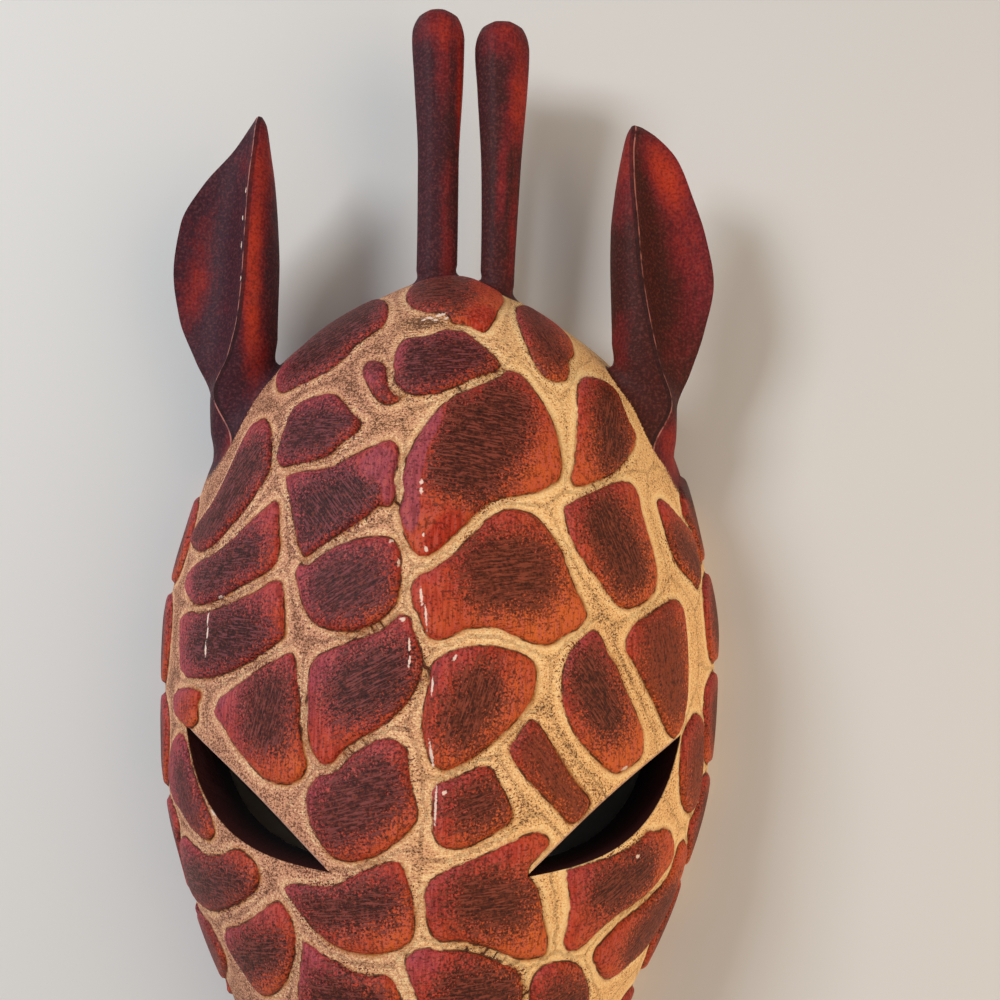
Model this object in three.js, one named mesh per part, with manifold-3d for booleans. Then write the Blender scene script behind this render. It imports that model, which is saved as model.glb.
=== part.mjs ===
// A carved wooden giraffe mask in one piece: a hollow shell with two eye slots, two leaf
// ears, two horns, and a coat of raised patches. It lies on its rim with its face up.
// Millimetres, +Z up, horns towards +Y. The origin is the middle of the footprint.
import * as THREE from 'three';
import { mergeVertices } from 'three/addons/utils/BufferGeometryUtils.js';
import Module from 'manifold-3d';

const wasm = await Module();
wasm.setup();

// Head: the places of its two ends, and stations between them. Each station is a place
// along the length, the half width at the rim and the height of the crest.
const CHIN = -230;
const CROWN = 138;
const HEAD_STATIONS = [
  { along: CHIN, half: 0, crest: 0 },
  { along: -226, half: 20, crest: 27 },
  { along: -214, half: 34, crest: 45 },
  { along: -190, half: 42, crest: 58 },
  { along: -155, half: 54, crest: 74 },
  { along: -120, half: 69.5, crest: 85 },
  { along: -82, half: 87, crest: 91.5 },
  { along: -40, half: 98.5, crest: 93.5 },
  { along: 5, half: 101, crest: 93.5 },
  { along: 45, half: 94, crest: 88.5 },
  { along: 80, half: 83, crest: 79 },
  { along: 105, half: 63, crest: 67 },
  { along: 122, half: 40, crest: 52 },
  { along: 133, half: 20, crest: 34 },
  { along: CROWN, half: 0, crest: 0 },
];
const KEEL = 1.6; // power of the section across: under 2 it sharpens the crest
const SECTIONS = 28;
const SECTION_STEPS = 16;

// Hollow back
const WALL = 12;
const HOLLOW_CHIN = -192;
const HOLLOW_CROWN = 119;
const HOLLOW_CORNER = 6; // power that squares the hollow's two ends
const HOLLOW_SECTIONS = 16;
const HOLLOW_STEPS = 12;
const BELOW_RIM = 5;

// Eye slots: the two corners as distances out from the crest and along the length, and
// how far the two lids bow away from the line between the corners
const LEFT_SLOT = { side: -1, outer: { out: 95, along: -27.5 }, inner: { out: 27.5, along: -66.5 } };
const RIGHT_SLOT = { side: 1, outer: { out: 95.5, along: -27 }, inner: { out: 31.5, along: -66.8 } };
const SLOT_UPPER_BOW = 4;
const SLOT_LOWER_BOW = 13.5;
const SLOT_STEPS = 8;
const SLOT_REACH_OUT = 30;
const SLOT_REACH_IN = 32;

// Relief of the coat
const RELIEF = 1.6;
const PATCH_SWELL = 0.5;
const PATCH_EDGE = 1.3;
const GROOVE = 2.2; // the least width between two patches
const PATCH_ROOT = 2;
const PATCH_FLARE = 1;
const RIM_BAND = 4;
const PATCH_CORNERS = 10;
const PLAIN_SQUARE = 2.8; // power that squares the plain patches' ovals

// Patches that were read off the front. Each has its outline on the skin as corners: the
// distance out from the crest, + to the right, and the place along.
const PATCHES = [
  { name: 'crown', outline: [
    [-15, 122], [-14, 117], [-11, 112.5], [-6, 110], [1.5, 109], [3, 105.5], [8, 105], [14, 103],
    [16.5, 107], [19, 114], [22, 122], [15, 129], [0, 131], [-11, 128],
  ] },
  { name: 'brow_left', outline: [
    [-21, 106], [-20.3, 110], [-22, 116], [-27, 121], [-42, 118], [-58, 106], [-68, 92], [-62, 84],
    [-50, 86], [-40, 89.6], [-34.5, 94], [-31, 98.5], [-25.5, 102.5],
  ] },
  { name: 'brow_right', outline: [
    [28, 119], [26.3, 113], [27.5, 106], [30, 99], [33, 92], [36, 88.5], [40, 87.3], [44, 88.5],
    [46, 92], [46.5, 97], [50, 101], [50.5, 107], [47, 113], [38, 119], [32, 121],
  ] },
  { name: 'leaf', outline: [
    [-15, 87], [-15, 95], [-13, 98.5], [-4, 100], [0.5, 102.2], [6, 102.5], [12, 98.5], [19.5, 90],
    [11, 84.5], [5, 81], [-1, 78.5], [-7, 77.8], [-13.5, 81.5],
  ] },
  { name: 'comma', outline: [
    [-26.5, 88], [-25, 91], [-21, 91], [-18.5, 89], [-17, 84], [-15.5, 79.5], [-12, 77.5],
    [-13.5, 75.5], [-17.5, 75], [-20.5, 77.5], [-23.5, 82],
  ] },
  { name: 'temple_left', outline: [
    [-57, 58.5], [-56.5, 65], [-55, 71.5], [-53, 76], [-49.5, 78.5], [-43, 80], [-36.5, 80],
    [-32, 76.5], [-28, 72], [-24.8, 68.7], [-26, 66], [-31, 62.3], [-35, 59], [-40, 57.2],
    [-49, 56.2], [-55, 56.2],
  ] },
  { name: 'cheek_left_1', outline: [
    [-52, 52], [-49, 53.2], [-40, 53.8], [-32.5, 55], [-29, 56.7], [-21, 60.3], [-13.5, 62.3],
    [-12, 60.5], [-12.5, 50], [-12, 43.5], [-13, 41.8], [-17, 41.3], [-20, 38.7], [-28.5, 33.2],
    [-36.5, 28.6], [-41.5, 26], [-43, 28], [-46.5, 36.5], [-49, 44], [-51, 49],
  ] },
  { name: 'big', outline: [
    [7, 79.5], [12, 84], [17.5, 87], [23, 88.8], [26, 88.3], [29, 85.8], [32.5, 81.5], [36, 76.5],
    [39.5, 69], [41, 62], [41.3, 56], [40.5, 53.2], [37.5, 50.5], [33, 48], [26, 46], [20, 44.5],
    [15.8, 42.3], [13, 39.5], [10, 36], [6, 32], [2.5, 28.3], [-0.5, 26.2], [-3.5, 26], [-6, 28.3],
    [-8.3, 33], [-10, 39], [-10.9, 45], [-10, 52.5], [-7.5, 59.5], [-4.5, 66], [-1, 71.5],
    [2.5, 75.5],
  ] },
  { name: 'temple_right', outline: [
    [46, 51.5], [46.8, 60], [47.8, 70], [48.5, 80], [49.5, 87.5], [52, 91], [58, 92.3], [65, 91.3],
    [69, 88], [70.8, 82], [73, 77], [75.5, 73], [74, 68.5], [70.5, 64.5], [65, 59.3], [60, 56],
    [54, 53.3], [49, 51.2],
  ] },
  { name: 'side_left_1', outline: [
    [-77, 69], [-73, 73.5], [-67.5, 74.5], [-62.5, 70], [-60.3, 62], [-59.5, 56], [-63.5, 49.5],
    [-72, 40.5], [-78, 36], [-85, 31.2], [-93.5, 29.5], [-100, 31], [-106, 34], [-103, 38.5],
    [-97, 42.5], [-90, 47.5], [-85, 54], [-80.5, 62],
  ] },
  { name: 'side_left_2', outline: [
    [-55.3, 44.5], [-59, 42.5], [-65, 38.8], [-74, 32.5], [-80, 29.5], [-86, 27.5], [-95, 25.5],
    [-101, 21.5], [-101, 17], [-96.5, 13.5], [-89.5, 11.3], [-82, 12], [-74, 14], [-66, 17.3],
    [-56, 21.2], [-52, 24.2], [-51.3, 28], [-52.3, 34],
  ] },
  { name: 'side_left_3', outline: [
    [-101.5, 7.5], [-98, 8.8], [-89.5, 8.8], [-82, 9.2], [-74, 10.6], [-66.5, 13], [-59, 15.4],
    [-51, 18.6], [-49.5, 18.3], [-48.3, 14], [-47, 6], [-47, 1.5], [-50.5, -1.2], [-55, -3.8],
    [-62, -7.2], [-70, -10], [-78, -11.8], [-88, -12.4], [-95, -12.2], [-98.5, -10.5],
    [-100.5, -4.5], [-101.5, 2],
  ] },
  { name: 'centre_left_1', outline: [
    [-44, 21], [-43, 23.5], [-40, 25.3], [-35, 27.4], [-28, 29.8], [-22, 31.3], [-16, 31.9],
    [-12.5, 31.3], [-10, 28.5], [-8.8, 23], [-9, 16], [-10.5, 11], [-13.5, 7.5], [-18, 5],
    [-24, 3.3], [-30, 3.6], [-35, 5], [-38.5, 8], [-41, 12], [-43, 17],
  ] },
  { name: 'centre_left_2', outline: [
    [-36, -6], [-32.5, -3.4], [-25, -0.4], [-19, 2.1], [-14, 4.7], [-10.5, 7.3], [-8, 8.5], [-6, 8],
    [-4.5, 5], [-2.5, -0.5], [-1.3, -4], [-1.7, -8.5], [-3, -12.5], [-5, -16.5], [-8.5, -20.4],
    [-12.5, -23.8], [-17.5, -26.7], [-23, -30], [-30, -35.8], [-32, -35.2], [-35, -31.5],
    [-36.5, -26.5], [-37, -19], [-37.2, -11.5],
  ] },
  { name: 'side_left_4', outline: [
    [-76, -23], [-74.5, -19], [-69, -15.8], [-63, -12.5], [-56, -8.6], [-48.5, -5.2], [-43.5, -3.8],
    [-42, -6.5], [-41, -13], [-39.5, -21], [-38.6, -28], [-37.8, -33], [-36.5, -37], [-38.5, -40],
    [-42, -41.9], [-47, -42.2], [-52, -41.4], [-57, -38.6], [-62, -35], [-66.5, -31.5],
    [-70.5, -27.5],
  ] },
  { name: 'corner_left', outline: [
    [-104, -17.5], [-100, -16.3], [-88, -16.3], [-84.5, -17.3], [-86.5, -21], [-86, -26],
    [-90, -28.5], [-97, -27.5], [-104, -24],
  ] },
  { name: 'centre_left_3', outline: [
    [-16.5, -28.9], [-12, -27.5], [-8, -27.9], [-5.3, -29.8], [-4.4, -33], [-3.8, -38],
    [-2.4, -43.5], [-1.2, -49.2], [-3, -52.3], [-8, -57], [-13, -60.4], [-18, -62.3], [-23, -62.7],
    [-27.5, -61.5], [-31, -58], [-34.5, -53], [-36, -48], [-35.8, -43.5], [-33.5, -40.3],
    [-28, -36.6], [-22, -32],
  ] },
  { name: 'centre_right_1', outline: [
    [0, 21.5], [3, 24], [7, 27], [10, 30.3], [13.3, 34], [16.7, 37.8], [20, 40.2], [24, 41.6],
    [28, 41.3], [32, 40], [35.5, 37.2], [38.5, 33.5], [41, 30], [43.5, 24], [46, 18.5],
    [49.5, 12.5], [50.5, 10], [48.5, 7], [43, 4], [38.5, 1.5], [34, 0.8], [30, 1.7], [25.5, 3.5],
    [20.5, 5.2], [15.5, 5.3], [10, 4.3], [6, 2], [2, 1.2], [-1, 3.5], [-3.5, 8], [-5, 13],
    [-5.3, 17], [-3, 20.5],
  ] },
  { name: 'side_right_1', outline: [
    [42.5, 43.5], [46, 46], [53, 49.5], [58.5, 52], [63.5, 54.2], [68, 55], [71.5, 54.2],
    [73.8, 51.5], [75, 46], [77, 40], [79.5, 33], [81, 27], [80.5, 21.5], [78.3, 18], [74, 15.4],
    [70, 13.7], [66.5, 13], [63, 13.6], [59, 16.8], [55.5, 21], [50, 26.5], [46.5, 31], [44, 36],
    [43, 40],
  ] },
  { name: 'rim_right_1', outline: [
    [85, 50], [88.5, 51.3], [92, 50], [97, 47.5], [104, 44.5], [111, 41], [114, 34], [113, 26],
    [109, 22], [103, 24.5], [95, 28.5], [91, 33.5], [88.3, 40], [86, 46],
  ] },
  { name: 'centre_right_2', outline: [
    [2.2, -5], [4.5, -3.2], [9, -1.2], [14, -0.2], [20, -0.2], [25, -1.2], [30, -2.8], [32.7, -5],
    [33.3, -8.5], [32.5, -14], [30, -18.3], [26, -22.7], [21.5, -26.7], [17, -30.2], [13, -33],
    [9, -35], [5.5, -35.9], [3, -34.5], [0.8, -30], [-0.8, -24], [-0.4, -18], [0.8, -12.5],
  ] },
  { name: 'side_right_2', outline: [
    [53, 5.6], [50, 4.2], [47.5, 1.8], [45, -1], [43, -5], [42.2, -10], [42.5, -16], [44.5, -21.5],
    [48, -26.8], [52, -30.8], [57, -34.6], [62, -37.8], [66, -37], [74.5, -31.5], [74.5, -27],
    [72, -21.5], [68.5, -16], [65, -10.5], [62, -5], [58.5, -0.8], [56, 3.5],
  ] },
  { name: 'side_right_3', outline: [
    [66, 1], [67.3, 5], [70.5, 8.5], [75.5, 11], [80.5, 13.4], [86, 15.8], [91, 17], [94.5, 15.5],
    [96.5, 10], [97.8, 2], [98.5, -8], [98, -17], [95, -25], [91, -28], [87.5, -26.5], [84.5, -23],
    [80, -17.5], [75.5, -11.5], [70.5, -5.3],
  ] },
  { name: 'strip', outline: [
    [31, -21.5], [33.5, -22], [37, -26], [41, -31.5], [45.5, -37.5], [49.5, -42], [53, -46],
    [47, -52], [40.5, -47], [35, -42], [30, -37.3], [27, -33.5], [25.3, -30], [28, -26],
  ] },
  { name: 'small_right', outline: [
    [3.2, -40.5], [8, -38.4], [13, -36.4], [17.5, -34.8], [19.8, -35.5], [22, -38.8], [24.8, -43.5],
    [26.5, -48], [26, -50.5], [23, -52.8], [19, -54.8], [14.5, -57], [9.5, -58], [5.5, -57],
    [3.8, -54.5], [3.2, -47],
  ] },
  { name: 'snout_right_1', outline: [
    [1.8, -69], [3.2, -66.8], [7, -64.4], [11, -62.5], [16, -60.8], [21, -58.7], [26, -56.6],
    [31, -54.8], [36, -54.2], [39, -56.5], [32, -65.5], [35.5, -70], [36.8, -74], [38, -80],
    [39.7, -85.5], [39.3, -89.5], [35, -90.3], [30, -89.9], [25.5, -88.2], [21, -86], [16, -84.4],
    [11, -83.6], [5, -83], [3, -80], [2, -75],
  ] },
  { name: 'snout_left_1', outline: [
    [-43.5, -72], [-40, -71], [-32, -70.6], [-26, -70], [-21, -67.3], [-15, -64.2], [-9, -62.2],
    [-6, -62], [-4.3, -65], [-2.6, -70], [-1.5, -75], [-1.2, -80], [-2.5, -84], [-5.5, -86],
    [-10, -87.6], [-16, -88.3], [-21, -88.1], [-26, -86.8], [-31, -84.3], [-35.5, -80.8],
    [-39.5, -77.5],
  ] },
  { name: 'slot_left', outline: [
    [-95, -32], [-91, -38.5], [-86.5, -44.5], [-81.5, -51], [-77.5, -56], [-76, -60], [-78, -62.3],
    [-85, -62.4], [-91, -60.5], [-98, -56.5], [-106, -53.5], [-110, -48], [-108, -38], [-101, -31],
  ] },
  { name: 'jaw_left_1', outline: [
    [-77, -67.5], [-71.5, -66.2], [-67, -64.4], [-63, -63.8], [-59, -65], [-55.5, -67.3],
    [-54.2, -70], [-55, -73.5], [-58, -76.6], [-62, -78.9], [-67, -81.3], [-72, -83.3],
    [-78, -85.2], [-84, -86.3], [-93, -86.3], [-101, -85], [-107, -82], [-109, -75], [-107, -67],
    [-100, -64.8], [-92, -66.4], [-86, -67.5], [-81, -68],
  ] },
  { name: 'jaw_left_2', outline: [
    [-46, -77], [-43, -78.8], [-40.8, -82], [-39.6, -87], [-40, -92], [-41.5, -96], [-44, -100.5],
    [-47, -103.7], [-51, -106.3], [-55, -107.4], [-58.5, -107], [-62, -105], [-66, -102],
    [-71, -98.5], [-74.5, -94.5], [-74.5, -91], [-70, -89], [-65, -87.4], [-60, -84.9],
    [-54.5, -81.5], [-50, -78.6],
  ] },
  { name: 'jaw_left_3', outline: [
    [-106, -91], [-98, -90.8], [-89, -92], [-84, -95.5], [-79.5, -100.3], [-80.5, -104.5],
    [-86, -108.5], [-95, -113], [-104, -112], [-109, -102],
  ] },
  { name: 'snout_left_2', outline: [
    [-37, -86.8], [-34.5, -87.4], [-30, -90], [-24, -92], [-19.5, -93.7], [-14.5, -94.4], [-8, -94],
    [-6, -96.5], [-4.5, -101], [-3.5, -108], [-5, -114], [-10, -117.5], [-20, -119], [-30, -116.5],
    [-37, -111], [-39, -103], [-38, -97],
  ] },
  { name: 'snout_right_2', outline: [
    [-3.6, -89.5], [-2.5, -87], [0, -86], [4, -85.2], [9, -85.4], [14, -86.3], [18, -87.5],
    [22, -89.3], [26.5, -91.6], [30, -94], [31.5, -97.5], [32, -103], [31, -110], [27, -115.5],
    [18, -118], [8, -118], [2, -114.5], [0.8, -108], [0.8, -101], [-0.5, -98], [-2.2, -94],
  ] },
  { name: 'jaw_right_2', outline: [
    [34.5, -100], [35.3, -97], [38, -93.7], [43, -92.7], [48.5, -93.2], [52.5, -95], [56, -99],
    [58.7, -104], [59.5, -110], [57, -116], [50, -119], [42, -118.5], [36, -114], [34, -107],
  ] },
  { name: 'jaw_right_1', outline: [
    [45.3, -66], [46.5, -70], [47.4, -75], [47, -82], [46, -87], [47, -89.4], [50.5, -89.9],
    [54, -88.8], [59, -85.7], [65, -82.7], [72, -80.5], [80, -78], [86, -75.8], [91, -72.6],
    [95.5, -69.5], [97.2, -66.5], [96.5, -63], [93, -58.5], [89, -57], [83, -57.3], [79, -56.5],
    [75, -59.5], [67.5, -62], [60, -63.5], [50, -65],
  ] },
  { name: 'jaw_right_3', outline: [
    [58.7, -93], [60.3, -90.3], [63, -88.4], [67, -86], [72, -83.2], [78, -81.6], [84, -79.6],
    [90, -77.3], [95, -75.2], [98.5, -72.5], [100, -68.5], [102, -64], [106, -62.8], [111, -66],
    [113, -74], [109, -82], [103, -88.5], [96, -94], [88, -97.9], [80, -99.9], [73, -102],
    [68, -102.4], [64, -100.3], [61, -97],
  ] },
  { name: 'slot_right', outline: [
    [96.3, -28], [95.3, -34], [95.8, -40.5], [96.8, -46], [99.3, -50], [103, -52.5], [108, -53.2],
    [112, -51], [114, -44], [114, -30], [111, -22], [106, -20.5], [100, -23.5],
  ] },
];

// The coat goes on, plainer, along both sides and down the snout
const SIDE_ROW = { first: 42, last: -170, count: 7, aboveRim: 21, long: 16, wide: 14, stagger: 6, lean: 8 };
const SNOUT_ROWS = { first: -130, pitch: 22, count: 3, long: 16, wide: 10, lean: 14, stagger: 4 };
const SNOUT_COLUMNS = [-0.5, -0.17, 0.17, 0.5];

// Muzzle: two nostril hollows and the line of the mouth
const NOSTRIL = { out: 13, along: -214, long: 6.5, wide: 3.6, deep: 3, turn: 55 };
const MOUTH = { height: 17, thick: 2.2, deep: 1.8, back: -200 };

// Horns: the two stand a little to the right of the middle. A station is a place along,
// the half width and the height of the axis.
const HORN_SIDES = 8;
const HORN_FLAT = 0.92;
const LEFT_HORN = [
  { along: 119, x: -5, half: 7.8, up: 31 },
  { along: 135, x: -4.9, half: 7.4, up: 32 },
  { along: 175, x: -5.4, half: 7.5, up: 36 },
  { along: 205, x: -6, half: 9, up: 40 },
  { along: 220, x: -6.5, half: 9.6, up: 42 },
  { along: 227, x: -6.5, half: 7.2, up: 43 },
  { along: 230, x: -6.5, half: 3, up: 43 },
];
const RIGHT_HORN = [
  { along: 116, x: 16.8, half: 6.2, up: 30 },
  { along: 132, x: 17.2, half: 6.2, up: 31 },
  { along: 172, x: 17.6, half: 7.2, up: 35 },
  { along: 202, x: 17.4, half: 9.2, up: 39 },
  { along: 216, x: 17, half: 10, up: 41 },
  { along: 223.5, x: 16.9, half: 7.6, up: 42 },
  { along: 226.5, x: 16.8, half: 3, up: 42 },
];

// Ears: stations from the foot to the tip. The ridge line runs up the leaf, with a narrow
// rounded strip on its inner side and a dished flank on its outer side. Each station has
// its place along, the height of its middle, the reach inwards and outwards from the ear's
// own line, the ridge's offset outwards, the depth in front and behind, and the dish as a
// share of the flank's width (under 0 it swells instead).
const EAR_FOOT = [
  { along: 52, up: 20, inner: 8, outer: 8, ridge: 0, front: 8, back: 8, dish: -0.2 },
  { along: 70, up: 27, inner: 12, outer: 12, ridge: 2, front: 12, back: 11, dish: -0.2 },
  { along: 86, up: 32, inner: 11.5, outer: 12.5, ridge: 9, front: 10, back: 9, dish: -0.05 },
];
const LEFT_LEAF = [
  { along: 99, up: 34, inner: 10.8, outer: 18.5, ridge: 4, front: 11.5, back: 7.5, dish: 0.14 },
  { along: 114, up: 36, inner: 10.3, outer: 25, ridge: 0.8, front: 13, back: 7, dish: 0.22 },
  { along: 132, up: 38, inner: 10, outer: 28, ridge: 0, front: 13, back: 7, dish: 0.25 },
  { along: 148, up: 40, inner: 8.8, outer: 26.2, ridge: 0, front: 12, back: 6.5, dish: 0.24 },
  { along: 162, up: 42, inner: 7.2, outer: 18.6, ridge: 0, front: 9.5, back: 5.5, dish: 0.2 },
  { along: 175, up: 43, inner: 4.8, outer: 8.2, ridge: 0, front: 6, back: 4, dish: 0.12 },
  { along: 184, up: 44, inner: 3, outer: 2.6, ridge: 0, front: 3.2, back: 2.2, dish: 0 },
  { along: 187.5, up: 44, inner: 1, outer: 0.8, ridge: 0, front: 1, back: 0.8, dish: 0 },
];
const RIGHT_LEAF = [
  { along: 99, up: 34, inner: 10.8, outer: 17.6, ridge: 5, front: 11.5, back: 7.5, dish: 0.14 },
  { along: 114, up: 36, inner: 10.3, outer: 23, ridge: 1.6, front: 13, back: 7, dish: 0.22 },
  { along: 132, up: 38, inner: 10.3, outer: 26.9, ridge: -0.8, front: 13, back: 7, dish: 0.25 },
  { along: 148, up: 40, inner: 9.8, outer: 24.4, ridge: -1.6, front: 12, back: 6.5, dish: 0.24 },
  { along: 162, up: 42, inner: 8, outer: 20, ridge: -2.2, front: 9.5, back: 5.5, dish: 0.2 },
  { along: 175, up: 43, inner: 5.4, outer: 15.2, ridge: -1.8, front: 6.5, back: 4, dish: 0.14 },
  { along: 184, up: 44, inner: 3, outer: 7, ridge: -0.5, front: 3.6, back: 2.4, dish: 0 },
  { along: 187.5, up: 44, inner: 1, outer: 1.6, ridge: 0, front: 1, back: 0.8, dish: 0 },
];
const LEFT_EAR = { side: -1, foot: 72.5, tip: 70, stations: [...EAR_FOOT, ...LEFT_LEAF] };
const RIGHT_EAR = { side: 1, foot: 72, tip: 65.5, stations: [...EAR_FOOT, ...RIGHT_LEAF] };
const EAR_QUARTER = 3;

const WOOD = new THREE.MeshStandardMaterial({ color: 0x6e352a, roughness: 0.65, metalness: 0 });

// Joining and cutting
function solidFrom(geometry) {
  geometry.deleteAttribute('normal');
  geometry.deleteAttribute('uv');
  const merged = mergeVertices(geometry, 1e-4);
  return new wasm.Manifold(new wasm.Mesh({
    numProp: 3,
    vertProperties: new Float32Array(merged.attributes.position.array),
    triVerts: new Uint32Array(merged.index.array),
  }));
}

function middleOf(ring) {
  const sum = ring.reduce((total, point) => total.add(point), new THREE.Vector3());
  return sum.multiplyScalar(1 / ring.length);
}

// A closed solid through rings of points, with the same number in each ring, that closes
// on a point at each end. The rings run anticlockwise as seen from the last one.
function solidThroughRings(rings, head = middleOf(rings[rings.length - 1])) {
  const positions = [];
  const indices = [];
  const count = rings[0].length;
  rings.forEach((ring) => ring.forEach((point) => positions.push(...point.toArray())));
  for (let r = 0; r < rings.length - 1; r += 1) {
    for (let i = 0; i < count; i += 1) {
      const next = (i + 1) % count;
      const [a, b] = [r * count + i, r * count + next];
      const [c, d] = [a + count, b + count];
      indices.push(a, b, d, a, d, c);
    }
  }
  const foot = rings.length * count;
  positions.push(...middleOf(rings[0]).toArray(), ...head.toArray());
  for (let i = 0; i < count; i += 1) {
    const next = (i + 1) % count;
    const last = (rings.length - 1) * count;
    indices.push(foot, next, i, foot + 1, last + i, last + next);
  }
  const geometry = new THREE.BufferGeometry();
  geometry.setAttribute('position', new THREE.Float32BufferAttribute(positions, 3));
  geometry.setIndex(indices);
  return solidFrom(geometry);
}

function meshFrom(solid, name, material) {
  const made = solid.getMesh();
  const geometry = new THREE.BufferGeometry();
  geometry.setAttribute('position', new THREE.BufferAttribute(made.vertProperties, 3));
  geometry.setIndex(new THREE.BufferAttribute(made.triVerts, 1));
  geometry.computeVertexNormals();
  const mesh = new THREE.Mesh(geometry, material);
  mesh.name = name;
  return mesh;
}

// A smooth curve through stations that never overshoots them
function smoothThrough(places, values) {
  const steps = places.slice(1).map((place, i) => place - places[i]);
  const rises = steps.map((step, i) => (values[i + 1] - values[i]) / step);
  const slopes = places.map((place, i) => {
    if (i === 0) return rises[0];
    if (i === rises.length) return rises[i - 1];
    const product = rises[i - 1] * rises[i];
    return product > 0 ? (2 * product) / (rises[i - 1] + rises[i]) : 0;
  });
  return (place) => {
    const held = THREE.MathUtils.clamp(place, places[0], places[places.length - 1]);
    let i = 0;
    while (i < steps.length - 1 && held > places[i + 1]) i += 1;
    const t = (held - places[i]) / steps[i];
    const bend = t * t * (3 - 2 * t);
    const start = t * (1 - t) * (1 - t) * steps[i] * slopes[i];
    const end = t * t * (t - 1) * steps[i] * slopes[i + 1];
    return values[i] * (1 - bend) + values[i + 1] * bend + start + end;
  };
}

// Squares are smoothed, not the sizes, so that both ends close round
const stationPlaces = HEAD_STATIONS.map((station) => station.along);
const halfSquared = smoothThrough(stationPlaces, HEAD_STATIONS.map((station) => station.half ** 2));
const crestSquared = smoothThrough(stationPlaces, HEAD_STATIONS.map((station) => station.crest ** 2));
const halfAt = (along) => Math.sqrt(Math.max(halfSquared(along), 0));
const crestAt = (along) => Math.sqrt(Math.max(crestSquared(along), 0));

// A point of a domed section: the turn runs from -90 degrees at the left rim to 90 at the right
function domePoint(turn, along, half, crest) {
  const across = Math.sign(turn) * Math.abs(Math.sin(turn)) ** (2 / KEEL);
  return new THREE.Vector3(half * across, along, crest * Math.max(Math.cos(turn), 0));
}

function headPoint(turn, along, inset = 0) {
  return domePoint(turn, along, Math.max(halfAt(along) - inset, 0), Math.max(crestAt(along) - inset, 0));
}

// A dome with a flat foot, through sections at the given places
function domeSolid(places, steps, pointAt) {
  const rings = places.map((along) => {
    const ring = [];
    for (let i = 0; i <= steps; i += 1) {
      ring.push(pointAt(Math.PI * (i / steps - 0.5), along));
    }
    return ring;
  });
  return solidThroughRings(rings);
}

// Places that crowd towards both ends, where a dome closes fastest
function placesBetween(from, to, count) {
  const places = [];
  for (let i = 0; i <= count; i += 1) {
    const even = i / count;
    const crowded = (1 - Math.cos(Math.PI * even)) / 2;
    places.push(from + (to - from) * (0.35 * even + 0.65 * crowded));
  }
  return places;
}

function headForm(inset = 0) {
  const ends = placesBetween(CHIN + inset, CROWN - inset, SECTIONS);
  const tip = 0.02;
  ends[0] += tip;
  ends[SECTIONS] -= tip;
  return domeSolid(ends, SECTION_STEPS, (turn, along) => headPoint(turn, along, inset));
}

function hollow() {
  const middle = (HOLLOW_CHIN + HOLLOW_CROWN) / 2;
  const reach = (HOLLOW_CROWN - HOLLOW_CHIN) / 2;
  const places = placesBetween(HOLLOW_CHIN + 0.02, HOLLOW_CROWN - 0.02, HOLLOW_SECTIONS);
  return domeSolid(places, HOLLOW_STEPS, (turn, along) => {
    const close = Math.sqrt(1 - Math.abs((along - middle) / reach) ** HOLLOW_CORNER);
    const half = (halfAt(along) - WALL) * close;
    const crest = (crestAt(along) - WALL) * close + BELOW_RIM;
    return domePoint(turn, along, half, crest).add(new THREE.Vector3(0, 0, -BELOW_RIM));
  });
}

// The head's skin, addressed by distance out from the crest and place along
function skinPoint(out, along) {
  const steps = 60;
  let left = Math.abs(out);
  let before = headPoint(0, along);
  for (let i = 1; i <= steps; i += 1) {
    const point = headPoint((Math.PI / 2) * (i / steps), along);
    const step = point.distanceTo(before);
    if (left <= step || i === steps) {
      before.lerp(point, Math.min(left / step, 1));
      break;
    }
    left -= step;
    before = point;
  }
  before.x *= Math.sign(out) || 1;
  return before;
}

function reachAt(along) {
  const steps = 60;
  let length = 0;
  for (let i = 1; i <= steps; i += 1) {
    const turn = (Math.PI / 2) * (i / steps);
    length += headPoint(turn, along).distanceTo(headPoint(turn - Math.PI / 2 / steps, along));
  }
  return length;
}

function skinFrame(out, along) {
  const origin = skinPoint(out, along);
  const across = skinPoint(out + 1, along).sub(skinPoint(out - 1, along)).normalize();
  const uphill = skinPoint(out, along + 1).sub(skinPoint(out, along - 1));
  const normal = across.clone().cross(uphill).normalize();
  return { origin, across, upward: normal.clone().cross(across), normal };
}

// The coat
// An outline cut down to a few corners, dropping those that change its shape least. They run
// anticlockwise.
function fewCorners(outline) {
  const corners = outline.map(([out, along]) => new THREE.Vector2(out, along));
  if (THREE.ShapeUtils.isClockWise(corners)) corners.reverse();
  while (corners.length > PATCH_CORNERS) {
    const areas = corners.map((corner, i) => {
      const before = corners.at(i - 1).clone().sub(corner);
      const after = corners[(i + 1) % corners.length].clone().sub(corner);
      return Math.abs(before.cross(after));
    });
    corners.splice(areas.indexOf(Math.min(...areas)), 1);
  }
  return corners;
}

// A patch with the middle of its outline, its spokes out to the corners and its frame
function placedPatch({ outline }) {
  const middle = new THREE.Vector2();
  outline.forEach(([out, along]) => middle.add(new THREE.Vector2(out, along)));
  middle.divideScalar(outline.length);
  const spokes = fewCorners(outline).map((corner) => corner.sub(middle));
  return { outline, middle, spokes, ...skinFrame(middle.x, middle.y) };
}

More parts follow.
